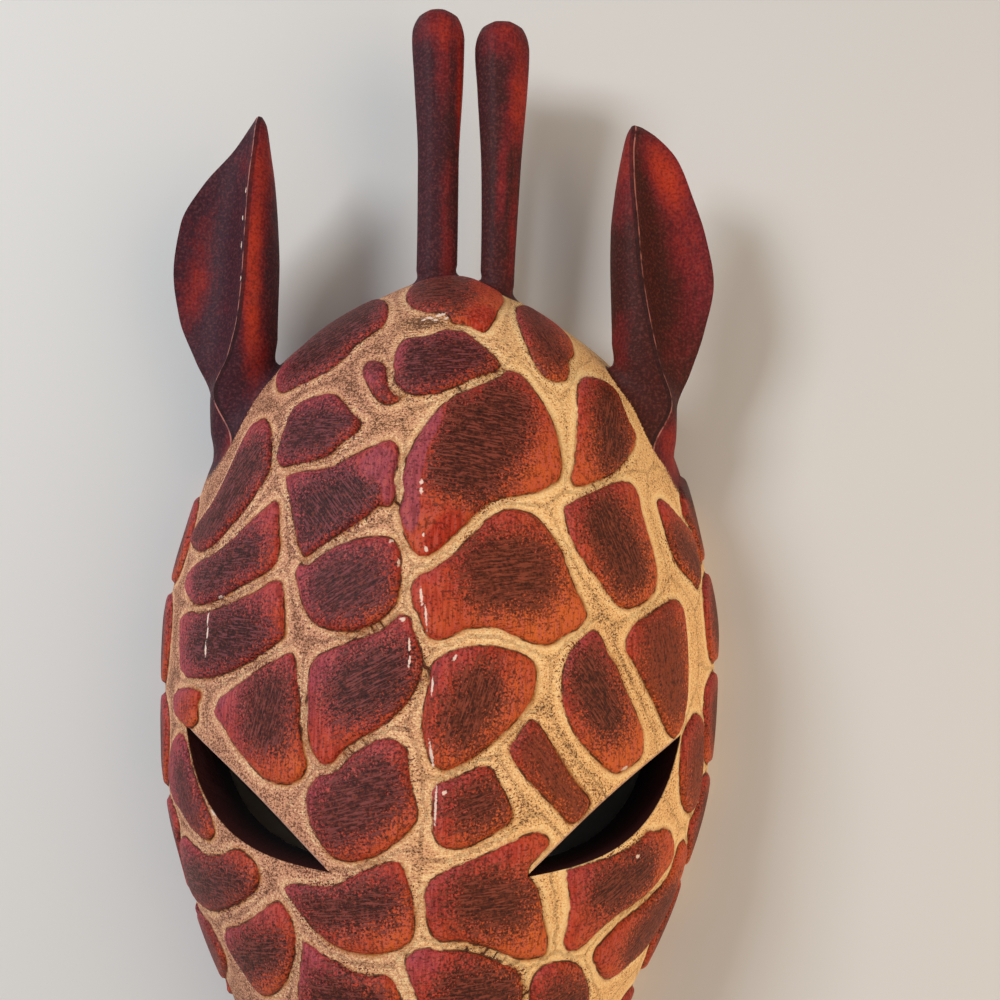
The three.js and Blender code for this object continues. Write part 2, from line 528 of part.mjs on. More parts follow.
function plainPatch(out, along, long, wide, turn) {
  const angle = THREE.MathUtils.degToRad(turn);
  const outline = [];
  for (let i = 0; i < PATCH_CORNERS; i += 1) {
    const bearing = (2 * Math.PI * (i + 0.5)) / PATCH_CORNERS;
    const [c, s] = [Math.cos(bearing), Math.sin(bearing)];
    const size = (Math.abs(c) ** PLAIN_SQUARE + Math.abs(s) ** PLAIN_SQUARE) ** (-1 / PLAIN_SQUARE);
    const [a, b] = [long * size * c, wide * size * s];
    outline.push([
      out + a * Math.cos(angle) - b * Math.sin(angle),
      along + a * Math.sin(angle) + b * Math.cos(angle),
    ]);
  }
  return { outline };
}

function sidePatches() {
  const { first, last, count, aboveRim, long, wide, stagger, lean } = SIDE_ROW;
  const patches = [];
  for (let i = 0; i < count; i += 1) {
    for (const side of [-1, 1]) {
      const along = first + ((last - first) * i) / (count - 1) + side * stagger;
      const out = side * (reachAt(along) - aboveRim);
      patches.push(plainPatch(out, along, long, wide, 90 + side * lean));
    }
  }
  return patches;
}

function snoutPatches() {
  const { first, pitch, count, long, wide, lean, stagger } = SNOUT_ROWS;
  const patches = [];
  for (let row = 0; row < count; row += 1) {
    SNOUT_COLUMNS.forEach((column, i) => {
      const along = first - pitch * row + (i % 2 ? stagger : -stagger);
      const shrink = halfAt(along) / halfAt(first);
      const turn = (column < 0 ? 1 : -1) * lean;
      patches.push(plainPatch(column * reachAt(along), along, long * shrink, wide, turn));
    });
  }
  return patches;
}

const coat = [...PATCHES, ...sidePatches(), ...snoutPatches()].map(placedPatch);

// How far a place on the skin lies inside an outline, under 0 outside it
function insideOutline(outline, out, along) {
  let nearest = Infinity;
  let within = false;
  outline.forEach(([ax, ay], i) => {
    const [bx, by] = outline[(i + 1) % outline.length];
    const [dx, dy] = [bx - ax, by - ay];
    const share = THREE.MathUtils.clamp(((out - ax) * dx + (along - ay) * dy) / (dx * dx + dy * dy), 0, 1);
    nearest = Math.min(nearest, Math.hypot(out - ax - share * dx, along - ay - share * dy));
    if (ay > along !== by > along && out < ax + ((along - ay) * dx) / dy) within = !within;
  });
  return within ? nearest : -nearest;
}

// The same for a patch of the coat, which gives way to the patches before it and to the rim
function insidePatch(patch, out, along) {
  let inside = Math.min(insideOutline(patch.outline, out, along), skinPoint(out, along).z - RIM_BAND);
  for (const earlier of coat.slice(0, coat.indexOf(patch))) {
    inside = Math.min(inside, -insideOutline(earlier.outline, out, along) - GROOVE);
  }
  return inside;
}

// The share of a spoke out from a patch's middle that is still so far inside
function shareOf(spoke, patch, depth) {
  let [near, far] = [0, 1.3];
  for (let i = 0; i < 14; i += 1) {
    const share = (near + far) / 2;
    const inside = insidePatch(patch, patch.middle.x + spoke.x * share, patch.middle.y + spoke.y * share);
    if (inside > depth) near = share;
    else far = share;
  }
  return near;
}

function patchRing(patch, shares, lift) {
  return patch.spokes.map((spoke, i) => {
    const place = patch.middle.clone().addScaledVector(spoke, shares[i]);
    const { origin, normal } = skinFrame(place.x, place.y);
    return origin.addScaledVector(normal, lift);
  });
}

function patchPad(patch) {
  const foot = patch.spokes.map((spoke) => shareOf(spoke, patch, -PATCH_FLARE));
  const brow = patch.spokes.map((spoke) => shareOf(spoke, patch, PATCH_EDGE));
  const rings = [
    patchRing(patch, foot, -PATCH_ROOT),
    patchRing(patch, brow, RELIEF),
    patchRing(patch, brow.map((share) => share / 2), RELIEF + PATCH_SWELL),
  ];
  return solidThroughRings(rings, patch.origin.clone().addScaledVector(patch.normal, RELIEF + PATCH_SWELL));
}

// Eye slots
function slotOutline(length) {
  const outline = new THREE.Shape();
  outline.moveTo(0, 0);
  for (let i = 1; i < SLOT_STEPS; i += 1) {
    const t = i / SLOT_STEPS;
    outline.lineTo(length * t, -SLOT_LOWER_BOW * Math.sin(Math.PI * t ** 0.85));
  }
  outline.lineTo(length, 0);
  for (let i = SLOT_STEPS - 1; i > 0; i -= 1) {
    const t = i / SLOT_STEPS;
    outline.lineTo(length * t, SLOT_UPPER_BOW * Math.sin(Math.PI * t));
  }
  return outline;
}

function eyeSlot(slot) {
  const outer = skinPoint(slot.side * slot.outer.out, slot.outer.along);
  const inner = skinPoint(slot.side * slot.inner.out, slot.inner.along);
  const length = outer.distanceTo(inner);
  const middle = skinFrame(
    (slot.side * (slot.outer.out + slot.inner.out)) / 2,
    (slot.outer.along + slot.inner.along) / 2,
  );
  const alongSlot = inner.clone().sub(outer).normalize();
  const through = middle.normal.clone().addScaledVector(alongSlot, -middle.normal.dot(alongSlot)).normalize();
  const lift = through.clone().cross(alongSlot);
  const upperSide = Math.sign(lift.y);
  const geometry = new THREE.ExtrudeGeometry(slotOutline(length), {
    depth: SLOT_REACH_OUT + SLOT_REACH_IN,
    bevelEnabled: false,
  });
  geometry.scale(1, upperSide, 1);
  if (upperSide < 0) flipFaces(geometry);
  const start = outer.clone().addScaledVector(through, -SLOT_REACH_IN);
  geometry.applyMatrix4(new THREE.Matrix4().makeBasis(alongSlot, lift, through).setPosition(start));
  return solidFrom(geometry);
}

function flipFaces(geometry) {
  const positions = geometry.attributes.position;
  const corner = new THREE.Vector3();
  for (let i = 0; i < positions.count; i += 3) {
    corner.fromBufferAttribute(positions, i);
    positions.setXYZ(i, positions.getX(i + 1), positions.getY(i + 1), positions.getZ(i + 1));
    positions.setXYZ(i + 1, corner.x, corner.y, corner.z);
  }
}

// Muzzle
function nostril(side) {
  const { origin, across, upward, normal } = skinFrame(side * NOSTRIL.out, NOSTRIL.along);
  const geometry = new THREE.SphereGeometry(1, 10, 8);
  geometry.scale(NOSTRIL.long, NOSTRIL.wide, NOSTRIL.deep);
  geometry.rotateZ(THREE.MathUtils.degToRad(side * NOSTRIL.turn));
  geometry.applyMatrix4(new THREE.Matrix4().makeBasis(across, upward, normal).setPosition(origin));
  return solidFrom(geometry);
}

function mouthLine() {
  const slab = new THREE.BoxGeometry(200, 200, MOUTH.thick);
  slab.translate(0, MOUTH.back - 100, MOUTH.height);
  return solidFrom(slab).subtract(headForm(MOUTH.deep));
}

// Horns
function horn(stations) {
  const rings = stations.map(({ along, x, half, up }) => {
    const ring = [];
    for (let i = 0; i < HORN_SIDES; i += 1) {
      const turn = -2 * Math.PI * ((i + 0.5) / HORN_SIDES);
      const reach = half / Math.cos(Math.PI / HORN_SIDES);
      const height = up + HORN_FLAT * reach * Math.sin(turn);
      ring.push(new THREE.Vector3(x + reach * Math.cos(turn), along, height));
    }
    return ring;
  });
  return solidThroughRings(rings);
}

// Ears
function earSection({ along, up, inner, outer, ridge, front, back, dish }) {
  const points = [];
  const quarter = Math.PI / 2 / EAR_QUARTER;
  const flank = Math.hypot(outer - ridge, front);
  for (let i = 0; i < EAR_QUARTER; i += 1) {
    const turn = quarter * i;
    points.push([ridge - (ridge + inner) * Math.sin(turn), front * Math.cos(turn)]);
  }
  for (let i = 0; i < 2 * EAR_QUARTER; i += 1) {
    const turn = quarter * i;
    const reach = Math.cos(turn);
    points.push([reach > 0 ? -inner * reach : -outer * reach, -back * Math.sin(turn)]);
  }
  for (let i = 0; i < EAR_QUARTER; i += 1) {
    const t = i / EAR_QUARTER;
    const sink = dish * flank * Math.sin(Math.PI * t);
    points.push([
      outer + (ridge - outer) * t - (sink * front) / flank,
      front * t - (sink * (outer - ridge)) / flank,
    ]);
  }
  return points.map(([out, height]) => new THREE.Vector3(out, along, up + height));
}

function ear({ side, foot, tip, stations }) {
  const first = stations[0].along;
  const length = stations[stations.length - 1].along - first;
  const rings = stations.map((station) => {
    const line = THREE.MathUtils.lerp(foot, tip, (station.along - first) / length);
    return earSection(station).map((point) => new THREE.Vector3(side * (line + point.x), point.y, point.z));
  });
  if (side > 0) rings.forEach((ring) => ring.reverse());
  return solidThroughRings(rings);
}

function mask() {
  let solid = headForm();
  coat.forEach((patch) => {
    solid = solid.add(patchPad(patch));
  });
  solid = solid.add(horn(LEFT_HORN)).add(horn(RIGHT_HORN));
  solid = solid.add(ear(LEFT_EAR)).add(ear(RIGHT_EAR));
  solid = solid.subtract(eyeSlot(LEFT_SLOT)).subtract(eyeSlot(RIGHT_SLOT));
  solid = solid.subtract(nostril(-1)).subtract(nostril(1));
  return meshFrom(solid.subtract(mouthLine()).subtract(hollow()), 'mask', WOOD);
}

const group = new THREE.Group();
group.add(mask());

export default group;
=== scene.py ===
# A carved and painted wooden giraffe mask, lying on its rim with its face up.
# Sizes are in millimetres until a mesh is written, which is in metres.
import math
from functools import partial
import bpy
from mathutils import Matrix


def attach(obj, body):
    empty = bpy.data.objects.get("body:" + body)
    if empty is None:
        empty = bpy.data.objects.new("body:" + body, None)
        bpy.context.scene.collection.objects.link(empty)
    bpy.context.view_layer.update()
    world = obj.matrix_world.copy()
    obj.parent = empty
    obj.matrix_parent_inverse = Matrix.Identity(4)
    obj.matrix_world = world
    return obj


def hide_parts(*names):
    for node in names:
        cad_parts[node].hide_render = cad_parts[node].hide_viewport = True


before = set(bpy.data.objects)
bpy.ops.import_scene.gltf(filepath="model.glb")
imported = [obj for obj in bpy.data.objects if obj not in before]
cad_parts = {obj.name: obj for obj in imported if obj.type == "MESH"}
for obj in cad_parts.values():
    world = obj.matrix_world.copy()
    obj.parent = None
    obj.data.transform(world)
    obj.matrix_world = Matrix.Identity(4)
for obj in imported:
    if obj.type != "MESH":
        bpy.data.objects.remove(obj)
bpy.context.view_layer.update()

from types import SimpleNamespace

import bpy
import numpy as np
from bpy.props import FloatProperty, FloatVectorProperty, PointerProperty
from mathutils import Matrix, Vector
from mathutils.bvhtree import BVHTree
from mathutils.kdtree import KDTree

bl_info = {
    "name": "Carved giraffe mask",
    "version": (1, 0, 0),
    "blender": (4, 5, 0),
    "location": "3D view > Sidebar > Mask",
    "description": "Carves and paints a wooden giraffe mask over its solid, and sets a plain stage",
    "category": "Object",
}

MM = 0.001

# Head: stations of place along the length, half width at the rim and height of the crest
CHIN = -230.0
CROWN = 138.0
HEAD_STATIONS = [
    (CHIN, 0, 0), (-226, 20, 27), (-214, 34, 45), (-190, 42, 58), (-155, 54, 74),
    (-120, 69.5, 85), (-82, 87, 91.5), (-40, 98.5, 93.5), (5, 101, 93.5), (45, 94, 88.5),
    (80, 83, 79), (105, 63, 67), (122, 40, 52), (133, 20, 34), (CROWN, 0, 0),
]
# Bend of the section: 2 is an ellipse, and less leaves a soft keel along the middle
KEEL = 1.6
# Rings and steps of the smooth form, and how far its skirt hangs below the rim
HEAD_RINGS = 150
HEAD_STEPS = 96
SKIRT = 4.0
# How far short of a closing end the last ring stands, and how much the rings crowd there
RING_GAP = 0.05
CROWDING = 0.65
# Table of skin lengths: steps from the crest to the rim, gap at the ends, and places along
SIDE_STEPS = 60
TABLE_GAP = 0.2
TABLE_ROWS = 500
# The least half width or crest that the head's form is worked out with
THINNEST = 0.05
# Points this high belong to the skin, and points this near to it lie on it
ABOVE_RIM = 0.3
ON_SKIN = 0.1

# Hollow back: its ends, how squarely they close, and how far below the rim its form starts
HOLLOW_CHIN = -192.0
HOLLOW_CROWN = 119.0
HOLLOW_CORNER = 6
HOLLOW_RINGS = 100
HOLLOW_STEPS = 72
BELOW_RIM = 5.0
# Half width, half length and floor of what is cut away below the rim
BELOW_RIM_BOX = (150.0, 300.0, -40.0)
# Gouge marks in the hollow
GOUGE_LONG = 21.0
GOUGE_WIDE = 9.0
GOUGE_DEEP = 0.5
# How much a gouge mark fades towards its ends, and how far each row starts after the last
GOUGE_FADE = 0.6
GOUGE_SHIFT = 0.37

# Eye slots: side, outer and inner corner as distance out from the crest and place along
SLOTS = [(-1, (95.0, -27.5), (27.5, -66.5)), (1, (95.5, -27.0), (31.5, -66.8))]
# Bow of the lids. A lean under 1 moves the lower bow towards the outer corner.
SLOT_UPPER_BOW = 4.0
SLOT_LOWER_BOW = 13.5
SLOT_LOWER_LEAN = 0.85
# Steps along a lid, and how far the cut reaches out of the head and into it
SLOT_STEPS = 48
SLOT_REACH_OUT = 30.0
SLOT_REACH_IN = 32.0
# The worn line along an upper lid: half width, depth, and the share left out at each corner
LID_WIDE, LID_DEPTH, LID_ENDS = 1.3, 2.5, 0.04

# Coat: how far above the rim it stops, and how fast a patch swells inwards from its edge
RIM_BAND = 4.0
SWELL_REACH = 9.0
# Points within this share of a grid step from an outline are moved onto it
SNAP_SHARE = 0.45
# The least steepness that a point is moved by onto an outline
LEAST_STEEPNESS = 0.25
# What a point far outside every patch counts as
FAR_OUTSIDE = -12.0
# The coat ends where the hollow, an ear or a horn begins, within these distances
COAT_DEPTH = 1.5
LIMB_GAP, LIMB_FADE = 1.0, 5.0
# What a diagonal across a groove counts for, in millimetres
BRIDGE = 3.0

# Patches read off the front: a name for the reader, the warmth of the reds, the dark top as an
# oval (middle out from the crest, middle along, half length, half width, turn in degrees), the turn
# of the brush strokes, how densely the dark is laid, and the outline's corners as (out, along)
# The warmth runs higher on the right, partly as painted light from the warm lamp
PATCHES = [
    ("crown", 0.45, (-3, 120, 14, 11.5, 90), 5, 0.85, [
        (-15, 122), (-14, 117), (-11, 112.5), (-6, 110), (1.5, 109), (3, 105.5), (8, 105), (14, 103),
        (16.5, 107), (19, 114), (22, 122), (15, 129), (0, 131), (-11, 128)]),
    ("brow_left", 0.1, (-42, 103, 23, 15, 55), 20, 1, [
        (-21, 106), (-20.3, 110), (-22, 116), (-27, 121), (-42, 118), (-58, 106), (-68, 92), (-62, 84),
        (-50, 86), (-40, 89.6), (-34.5, 94), (-31, 98.5), (-25.5, 102.5)]),
    ("brow_right", 0.6, (35, 105, 17, 8, -65), -60, 0.8, [
        (28, 119), (26.3, 113), (27.5, 106), (30, 99), (33, 92), (36, 88.5), (40, 87.3), (44, 88.5),
        (46, 92), (46.5, 97), (50, 101), (50.5, 107), (47, 113), (38, 119), (32, 121)]),
    ("leaf", 0.15, (0, 89.5, 18, 10.5, 5), 4, 0.95, [
        (-15, 87), (-15, 95), (-13, 98.5), (-4, 100), (0.5, 102.2), (6, 102.5), (12, 98.5), (19.5, 90),
        (11, 84.5), (5, 81), (-1, 78.5), (-7, 77.8), (-13.5, 81.5)]),
    ("comma", 0.1, (-19.5, 83, 7, 3, -60), -50, 0.8, [
        (-26.5, 88), (-25, 91), (-21, 91), (-18.5, 89), (-17, 84), (-15.5, 79.5), (-12, 77.5),
        (-13.5, 75.5), (-17.5, 75), (-20.5, 77.5), (-23.5, 82)]),
    ("temple_left", 0.0, (-42, 66.5, 16, 10, 0), -5, 0.9, [
        (-57, 58.5), (-56.5, 65), (-55, 71.5), (-53, 76), (-49.5, 78.5), (-43, 80), (-36.5, 80),
        (-32, 76.5), (-28, 72), (-24.8, 68.7), (-26, 66), (-31, 62.3), (-35, 59), (-40, 57.2),
        (-49, 56.2), (-55, 56.2)]),
    ("cheek_left_1", 0.05, (-33, 42, 19, 10.5, 20), -50, 1, [
        (-52, 52), (-49, 53.2), (-40, 53.8), (-32.5, 55), (-29, 56.7), (-21, 60.3), (-13.5, 62.3),
        (-12, 60.5), (-12.5, 50), (-12, 43.5), (-13, 41.8), (-17, 41.3), (-20, 38.7), (-28.5, 33.2),
        (-36.5, 28.6), (-41.5, 26), (-43, 28), (-46.5, 36.5), (-49, 44), (-51, 49)]),
    ("big", 0.6, (14, 64, 23, 15, 70), -6, 1, [
        (7, 79.5), (12, 84), (17.5, 87), (23, 88.8), (26, 88.3), (29, 85.8), (32.5, 81.5), (36, 76.5),
        (39.5, 69), (41, 62), (41.3, 56), (40.5, 53.2), (37.5, 50.5), (33, 48), (26, 46), (20, 44.5),
        (15.8, 42.3), (13, 39.5), (10, 36), (6, 32), (2.5, 28.3), (-0.5, 26.2), (-3.5, 26), (-6, 28.3),
        (-8.3, 33), (-10, 39), (-10.9, 45), (-10, 52.5), (-7.5, 59.5), (-4.5, 66), (-1, 71.5), (2.5, 75.5)]),
    ("temple_right", 0.8, (62, 73.5, 18, 9, 88), 80, 1, [
        (46, 51.5), (46.8, 60), (47.8, 70), (48.5, 80), (49.5, 87.5), (52, 91), (58, 92.3), (65, 91.3),
        (69, 88), (70.8, 82), (73, 77), (75.5, 73), (74, 68.5), (70.5, 64.5), (65, 59.3), (60, 56),
        (54, 53.3), (49, 51.2)]),
    ("side_left_1", 0.1, (-80, 47, 26, 11, 45), 50, 0.95, [
        (-77, 69), (-73, 73.5), (-67.5, 74.5), (-62.5, 70), (-60.3, 62), (-59.5, 56), (-63.5, 49.5),
        (-72, 40.5), (-78, 36), (-85, 31.2), (-93.5, 29.5), (-100, 31), (-106, 34), (-103, 38.5),
        (-97, 42.5), (-90, 47.5), (-85, 54), (-80.5, 62)]),
    ("side_left_2", 0.05, (-74, 24, 19, 8.5, 20), 0, 1, [
        (-55.3, 44.5), (-59, 42.5), (-65, 38.8), (-74, 32.5), (-80, 29.5), (-86, 27.5), (-95, 25.5),
        (-101, 21.5), (-101, 17), (-96.5, 13.5), (-89.5, 11.3), (-82, 12), (-74, 14), (-66, 17.3),
        (-56, 21.2), (-52, 24.2), (-51.3, 28), (-52.3, 34)]),
    ("side_left_3", 0.05, (-72, 0.5, 21, 10.5, 6), -5, 1, [
        (-101.5, 7.5), (-98, 8.8), (-89.5, 8.8), (-82, 9.2), (-74, 10.6), (-66.5, 13), (-59, 15.4),
        (-51, 18.6), (-49.5, 18.3), (-48.3, 14), (-47, 6), (-47, 1.5), (-50.5, -1.2), (-55, -3.8),
        (-62, -7.2), (-70, -10), (-78, -11.8), (-88, -12.4), (-95, -12.2), (-98.5, -10.5),
        (-100.5, -4.5), (-101.5, 2)]),
    ("centre_left_1", 0.15, (-25, 17, 14, 11, 15), 30, 0.9, [
        (-44, 21), (-43, 23.5), (-40, 25.3), (-35, 27.4), (-28, 29.8), (-22, 31.3), (-16, 31.9),
        (-12.5, 31.3), (-10, 28.5), (-8.8, 23), (-9, 16), (-10.5, 11), (-13.5, 7.5), (-18, 5),
        (-24, 3.3), (-30, 3.6), (-35, 5), (-38.5, 8), (-41, 12), (-43, 17)]),
    ("centre_left_2", 0.3, (-16, -11, 16, 11, 30), 28, 1, [
        (-36, -6), (-32.5, -3.4), (-25, -0.4), (-19, 2.1), (-14, 4.7), (-10.5, 7.3), (-8, 8.5), (-6, 8),
        (-4.5, 5), (-2.5, -0.5), (-1.3, -4), (-1.7, -8.5), (-3, -12.5), (-5, -16.5), (-8.5, -20.4),
        (-12.5, -23.8), (-17.5, -26.7), (-23, -30), (-30, -35.8), (-32, -35.2), (-35, -31.5),
        (-36.5, -26.5), (-37, -19), (-37.2, -11.5)]),
    ("side_left_4", 0.35, (-51, -21, 13.5, 10.5, 80), 75, 0.95, [
        (-76, -23), (-74.5, -19), (-69, -15.8), (-63, -12.5), (-56, -8.6), (-48.5, -5.2), (-43.5, -3.8),
        (-42, -6.5), (-41, -13), (-39.5, -21), (-38.6, -28), (-37.8, -33), (-36.5, -37), (-38.5, -40),
        (-42, -41.9), (-47, -42.2), (-52, -41.4), (-57, -38.6), (-62, -35), (-66.5, -31.5), (-70.5, -27.5)]),
    ("corner_left", 0.3, (-92, -22, 0.1, 0.1, 0), 0, 0.5, [
        (-104, -17.5), (-100, -16.3), (-88, -16.3), (-84.5, -17.3), (-86.5, -21), (-86, -26),
        (-90, -28.5), (-97, -27.5), (-104, -24)]),
    ("centre_left_3", 0.35, (-18, -45, 17, 10.5, 35), 15, 0.9, [
        (-16.5, -28.9), (-12, -27.5), (-8, -27.9), (-5.3, -29.8), (-4.4, -33), (-3.8, -38), (-2.4, -43.5),
        (-1.2, -49.2), (-3, -52.3), (-8, -57), (-13, -60.4), (-18, -62.3), (-23, -62.7), (-27.5, -61.5),
        (-31, -58), (-34.5, -53), (-36, -48), (-35.8, -43.5), (-33.5, -40.3), (-28, -36.6), (-22, -32)]),
    ("centre_right_1", 0.75, (24, 22, 16, 12.5, 0), 8, 0.9, [
        (0, 21.5), (3, 24), (7, 27), (10, 30.3), (13.3, 34), (16.7, 37.8), (20, 40.2), (24, 41.6),
        (28, 41.3), (32, 40), (35.5, 37.2), (38.5, 33.5), (41, 30), (43.5, 24), (46, 18.5), (49.5, 12.5),
        (50.5, 10), (48.5, 7), (43, 4), (38.5, 1.5), (34, 0.8), (30, 1.7), (25.5, 3.5), (20.5, 5.2),
        (15.5, 5.3), (10, 4.3), (6, 2), (2, 1.2), (-1, 3.5), (-3.5, 8), (-5, 13), (-5.3, 17), (-3, 20.5)]),
    ("side_right_1", 0.8, (61.5, 33.5, 18.5, 10.5, -60), -65, 1, [
        (42.5, 43.5), (46, 46), (53, 49.5), (58.5, 52), (63.5, 54.2), (68, 55), (71.5, 54.2),
        (73.8, 51.5), (75, 46), (77, 40), (79.5, 33), (81, 27), (80.5, 21.5), (78.3, 18), (74, 15.4),
        (70, 13.7), (66.5, 13), (63, 13.6), (59, 16.8), (55.5, 21), (50, 26.5), (46.5, 31),
        (44, 36), (43, 40)]),
    ("rim_right_1", 0.9, (102, 33, 14, 7, -35), -50, 0.9, [
        (85, 50), (88.5, 51.3), (92, 50), (97, 47.5), (104, 44.5), (111, 41), (114, 34), (113, 26),
        (109, 22), (103, 24.5), (95, 28.5), (91, 33.5), (88.3, 40), (86, 46)]),
    ("centre_right_2", 0.7, (13.5, -17.5, 14, 8.5, 65), 75, 0.95, [
        (2.2, -5), (4.5, -3.2), (9, -1.2), (14, -0.2), (20, -0.2), (25, -1.2), (30, -2.8), (32.7, -5),
        (33.3, -8.5), (32.5, -14), (30, -18.3), (26, -22.7), (21.5, -26.7), (17, -30.2), (13, -33),
        (9, -35), (5.5, -35.9), (3, -34.5), (0.8, -30), (-0.8, -24), (-0.4, -18), (0.8, -12.5)]),
    ("side_right_2", 0.7, (54, -14, 16, 8.5, -58), -50, 1, [
        (53, 5.6), (50, 4.2), (47.5, 1.8), (45, -1), (43, -5), (42.2, -10), (42.5, -16), (44.5, -21.5),
        (48, -26.8), (52, -30.8), (57, -34.6), (62, -37.8), (66, -37), (74.5, -31.5), (74.5, -27),
        (72, -21.5), (68.5, -16), (65, -10.5), (62, -5), (58.5, -0.8), (56, 3.5)]),
    ("side_right_3", 0.95, (84, -4, 20, 11, -75), -76, 0.55, [
        (66, 1), (67.3, 5), (70.5, 8.5), (75.5, 11), (80.5, 13.4), (86, 15.8), (91, 17), (94.5, 15.5),
        (96.5, 10), (97.8, 2), (98.5, -8), (98, -17), (95, -25), (91, -28), (87.5, -26.5),
        (84.5, -23), (80, -17.5), (75.5, -11.5), (70.5, -5.3)]),
    ("strip", 0.85, (40, -37, 17, 6.5, -50), -52, 0.6, [
        (31, -21.5), (33.5, -22), (37, -26), (41, -31.5), (45.5, -37.5), (49.5, -42), (53, -46),
        (47, -52), (40.5, -47), (35, -42), (30, -37.3), (27, -33.5), (25.3, -30), (28, -26)]),
    ("small_right", 0.65, (16.5, -45, 10, 7.5, 20), 20, 0.9, [
        (3.2, -40.5), (8, -38.4), (13, -36.4), (17.5, -34.8), (19.8, -35.5), (22, -38.8), (24.8, -43.5),
        (26.5, -48), (26, -50.5), (23, -52.8), (19, -54.8), (14.5, -57), (9.5, -58), (5.5, -57),
        (3.8, -54.5), (3.2, -47)]),
    ("snout_right_1", 0.7, (21.5, -73, 13.5, 9.5, -10), 5, 0.95, [
        (1.8, -69), (3.2, -66.8), (7, -64.4), (11, -62.5), (16, -60.8), (21, -58.7), (26, -56.6),
        (31, -54.8), (36, -54.2), (39, -56.5), (32, -65.5), (35.5, -70), (36.8, -74), (38, -80),
        (39.7, -85.5), (39.3, -89.5), (35, -90.3), (30, -89.9), (25.5, -88.2), (21, -86), (16, -84.4),
        (11, -83.6), (5, -83), (3, -80), (2, -75)]),
    ("snout_left_1", 0.45, (-22, -75.5, 18, 7.5, 10), 10, 1, [
        (-43.5, -72), (-40, -71), (-32, -70.6), (-26, -70), (-21, -67.3), (-15, -64.2), (-9, -62.2),
        (-6, -62), (-4.3, -65), (-2.6, -70), (-1.5, -75), (-1.2, -80), (-2.5, -84), (-5.5, -86),
        (-10, -87.6), (-16, -88.3), (-21, -88.1), (-26, -86.8), (-31, -84.3), (-35.5, -80.8),
        (-39.5, -77.5)]),
    ("slot_left", 0.1, (-91, -50, 14, 8.5, -60), -60, 0.8, [
        (-95, -32), (-91, -38.5), (-86.5, -44.5), (-81.5, -51), (-77.5, -56), (-76, -60), (-78, -62.3),
        (-85, -62.4), (-91, -60.5), (-98, -56.5), (-106, -53.5), (-110, -48), (-108, -38), (-101, -31)]),
    ("jaw_left_1", 0.3, (-80, -76, 24, 8.5, 5), 0, 1, [
        (-77, -67.5), (-71.5, -66.2), (-67, -64.4), (-63, -63.8), (-59, -65), (-55.5, -67.3),
        (-54.2, -70), (-55, -73.5), (-58, -76.6), (-62, -78.9), (-67, -81.3), (-72, -83.3), (-78, -85.2),
        (-84, -86.3), (-93, -86.3), (-101, -85), (-107, -82), (-109, -75), (-107, -67), (-100, -64.8),
        (-92, -66.4), (-86, -67.5), (-81, -68)]),
    ("jaw_left_2", 0.4, (-56, -94.5, 15, 7.5, 22), 10, 1, [
        (-46, -77), (-43, -78.8), (-40.8, -82), (-39.6, -87), (-40, -92), (-41.5, -96), (-44, -100.5),
        (-47, -103.7), (-51, -106.3), (-55, -107.4), (-58.5, -107), (-62, -105), (-66, -102),
        (-71, -98.5), (-74.5, -94.5), (-74.5, -91), (-70, -89), (-65, -87.4), (-60, -84.9),
        (-54.5, -81.5), (-50, -78.6)]),
    ("jaw_left_3", 0.3, (-92, -101, 11, 8, -10), 0, 0.4, [
        (-106, -91), (-98, -90.8), (-89, -92), (-84, -95.5), (-79.5, -100.3), (-80.5, -104.5),
        (-86, -108.5), (-95, -113), (-104, -112), (-109, -102)]),
    ("snout_left_2", 0.45, (-21, -104, 14, 10, -10), 0, 1, [
        (-37, -86.8), (-34.5, -87.4), (-30, -90), (-24, -92), (-19.5, -93.7), (-14.5, -94.4), (-8, -94),
        (-6, -96.5), (-4.5, -101), (-3.5, -108), (-5, -114), (-10, -117.5), (-20, -119), (-30, -116.5),
        (-37, -111), (-39, -103), (-38, -97)]),
    ("snout_right_2", 0.6, (18, -101, 14, 12, -10), 5, 1, [
        (-3.6, -89.5), (-2.5, -87), (0, -86), (4, -85.2), (9, -85.4), (14, -86.3), (18, -87.5),
        (22, -89.3), (26.5, -91.6), (30, -94), (31.5, -97.5), (32, -103), (31, -110), (27, -115.5),
        (18, -118), (8, -118), (2, -114.5), (0.8, -108), (0.8, -101), (-0.5, -98), (-2.2, -94)]),
    ("jaw_right_2", 0.8, (48, -108, 11, 11, 0), 20, 0.9, [
        (34.5, -100), (35.3, -97), (38, -93.7), (43, -92.7), (48.5, -93.2), (52.5, -95), (56, -99),
        (58.7, -104), (59.5, -110), (57, -116), (50, -119), (42, -118.5), (36, -114), (34, -107)]),
    ("jaw_right_1", 0.75, (68.5, -70, 16, 9, 18), 25, 0.95, [
        (45.3, -66), (46.5, -70), (47.4, -75), (47, -82), (46, -87), (47, -89.4), (50.5, -89.9),
        (54, -88.8), (59, -85.7), (65, -82.7), (72, -80.5), (80, -78), (86, -75.8), (91, -72.6),
        (95.5, -69.5), (97.2, -66.5), (96.5, -63), (93, -58.5), (89, -57), (83, -57.3), (79, -56.5),
        (75, -59.5), (67.5, -62), (60, -63.5), (50, -65)]),
    ("jaw_right_3", 0.85, (90, -88, 19, 9, 30), 33, 0.85, [
        (58.7, -93), (60.3, -90.3), (63, -88.4), (67, -86), (72, -83.2), (78, -81.6), (84, -79.6),
        (90, -77.3), (95, -75.2), (98.5, -72.5), (100, -68.5), (102, -64), (106, -62.8), (111, -66),
        (113, -74), (109, -82), (103, -88.5), (96, -94), (88, -97.9), (80, -99.9), (73, -102),
        (68, -102.4), (64, -100.3), (61, -97)]),
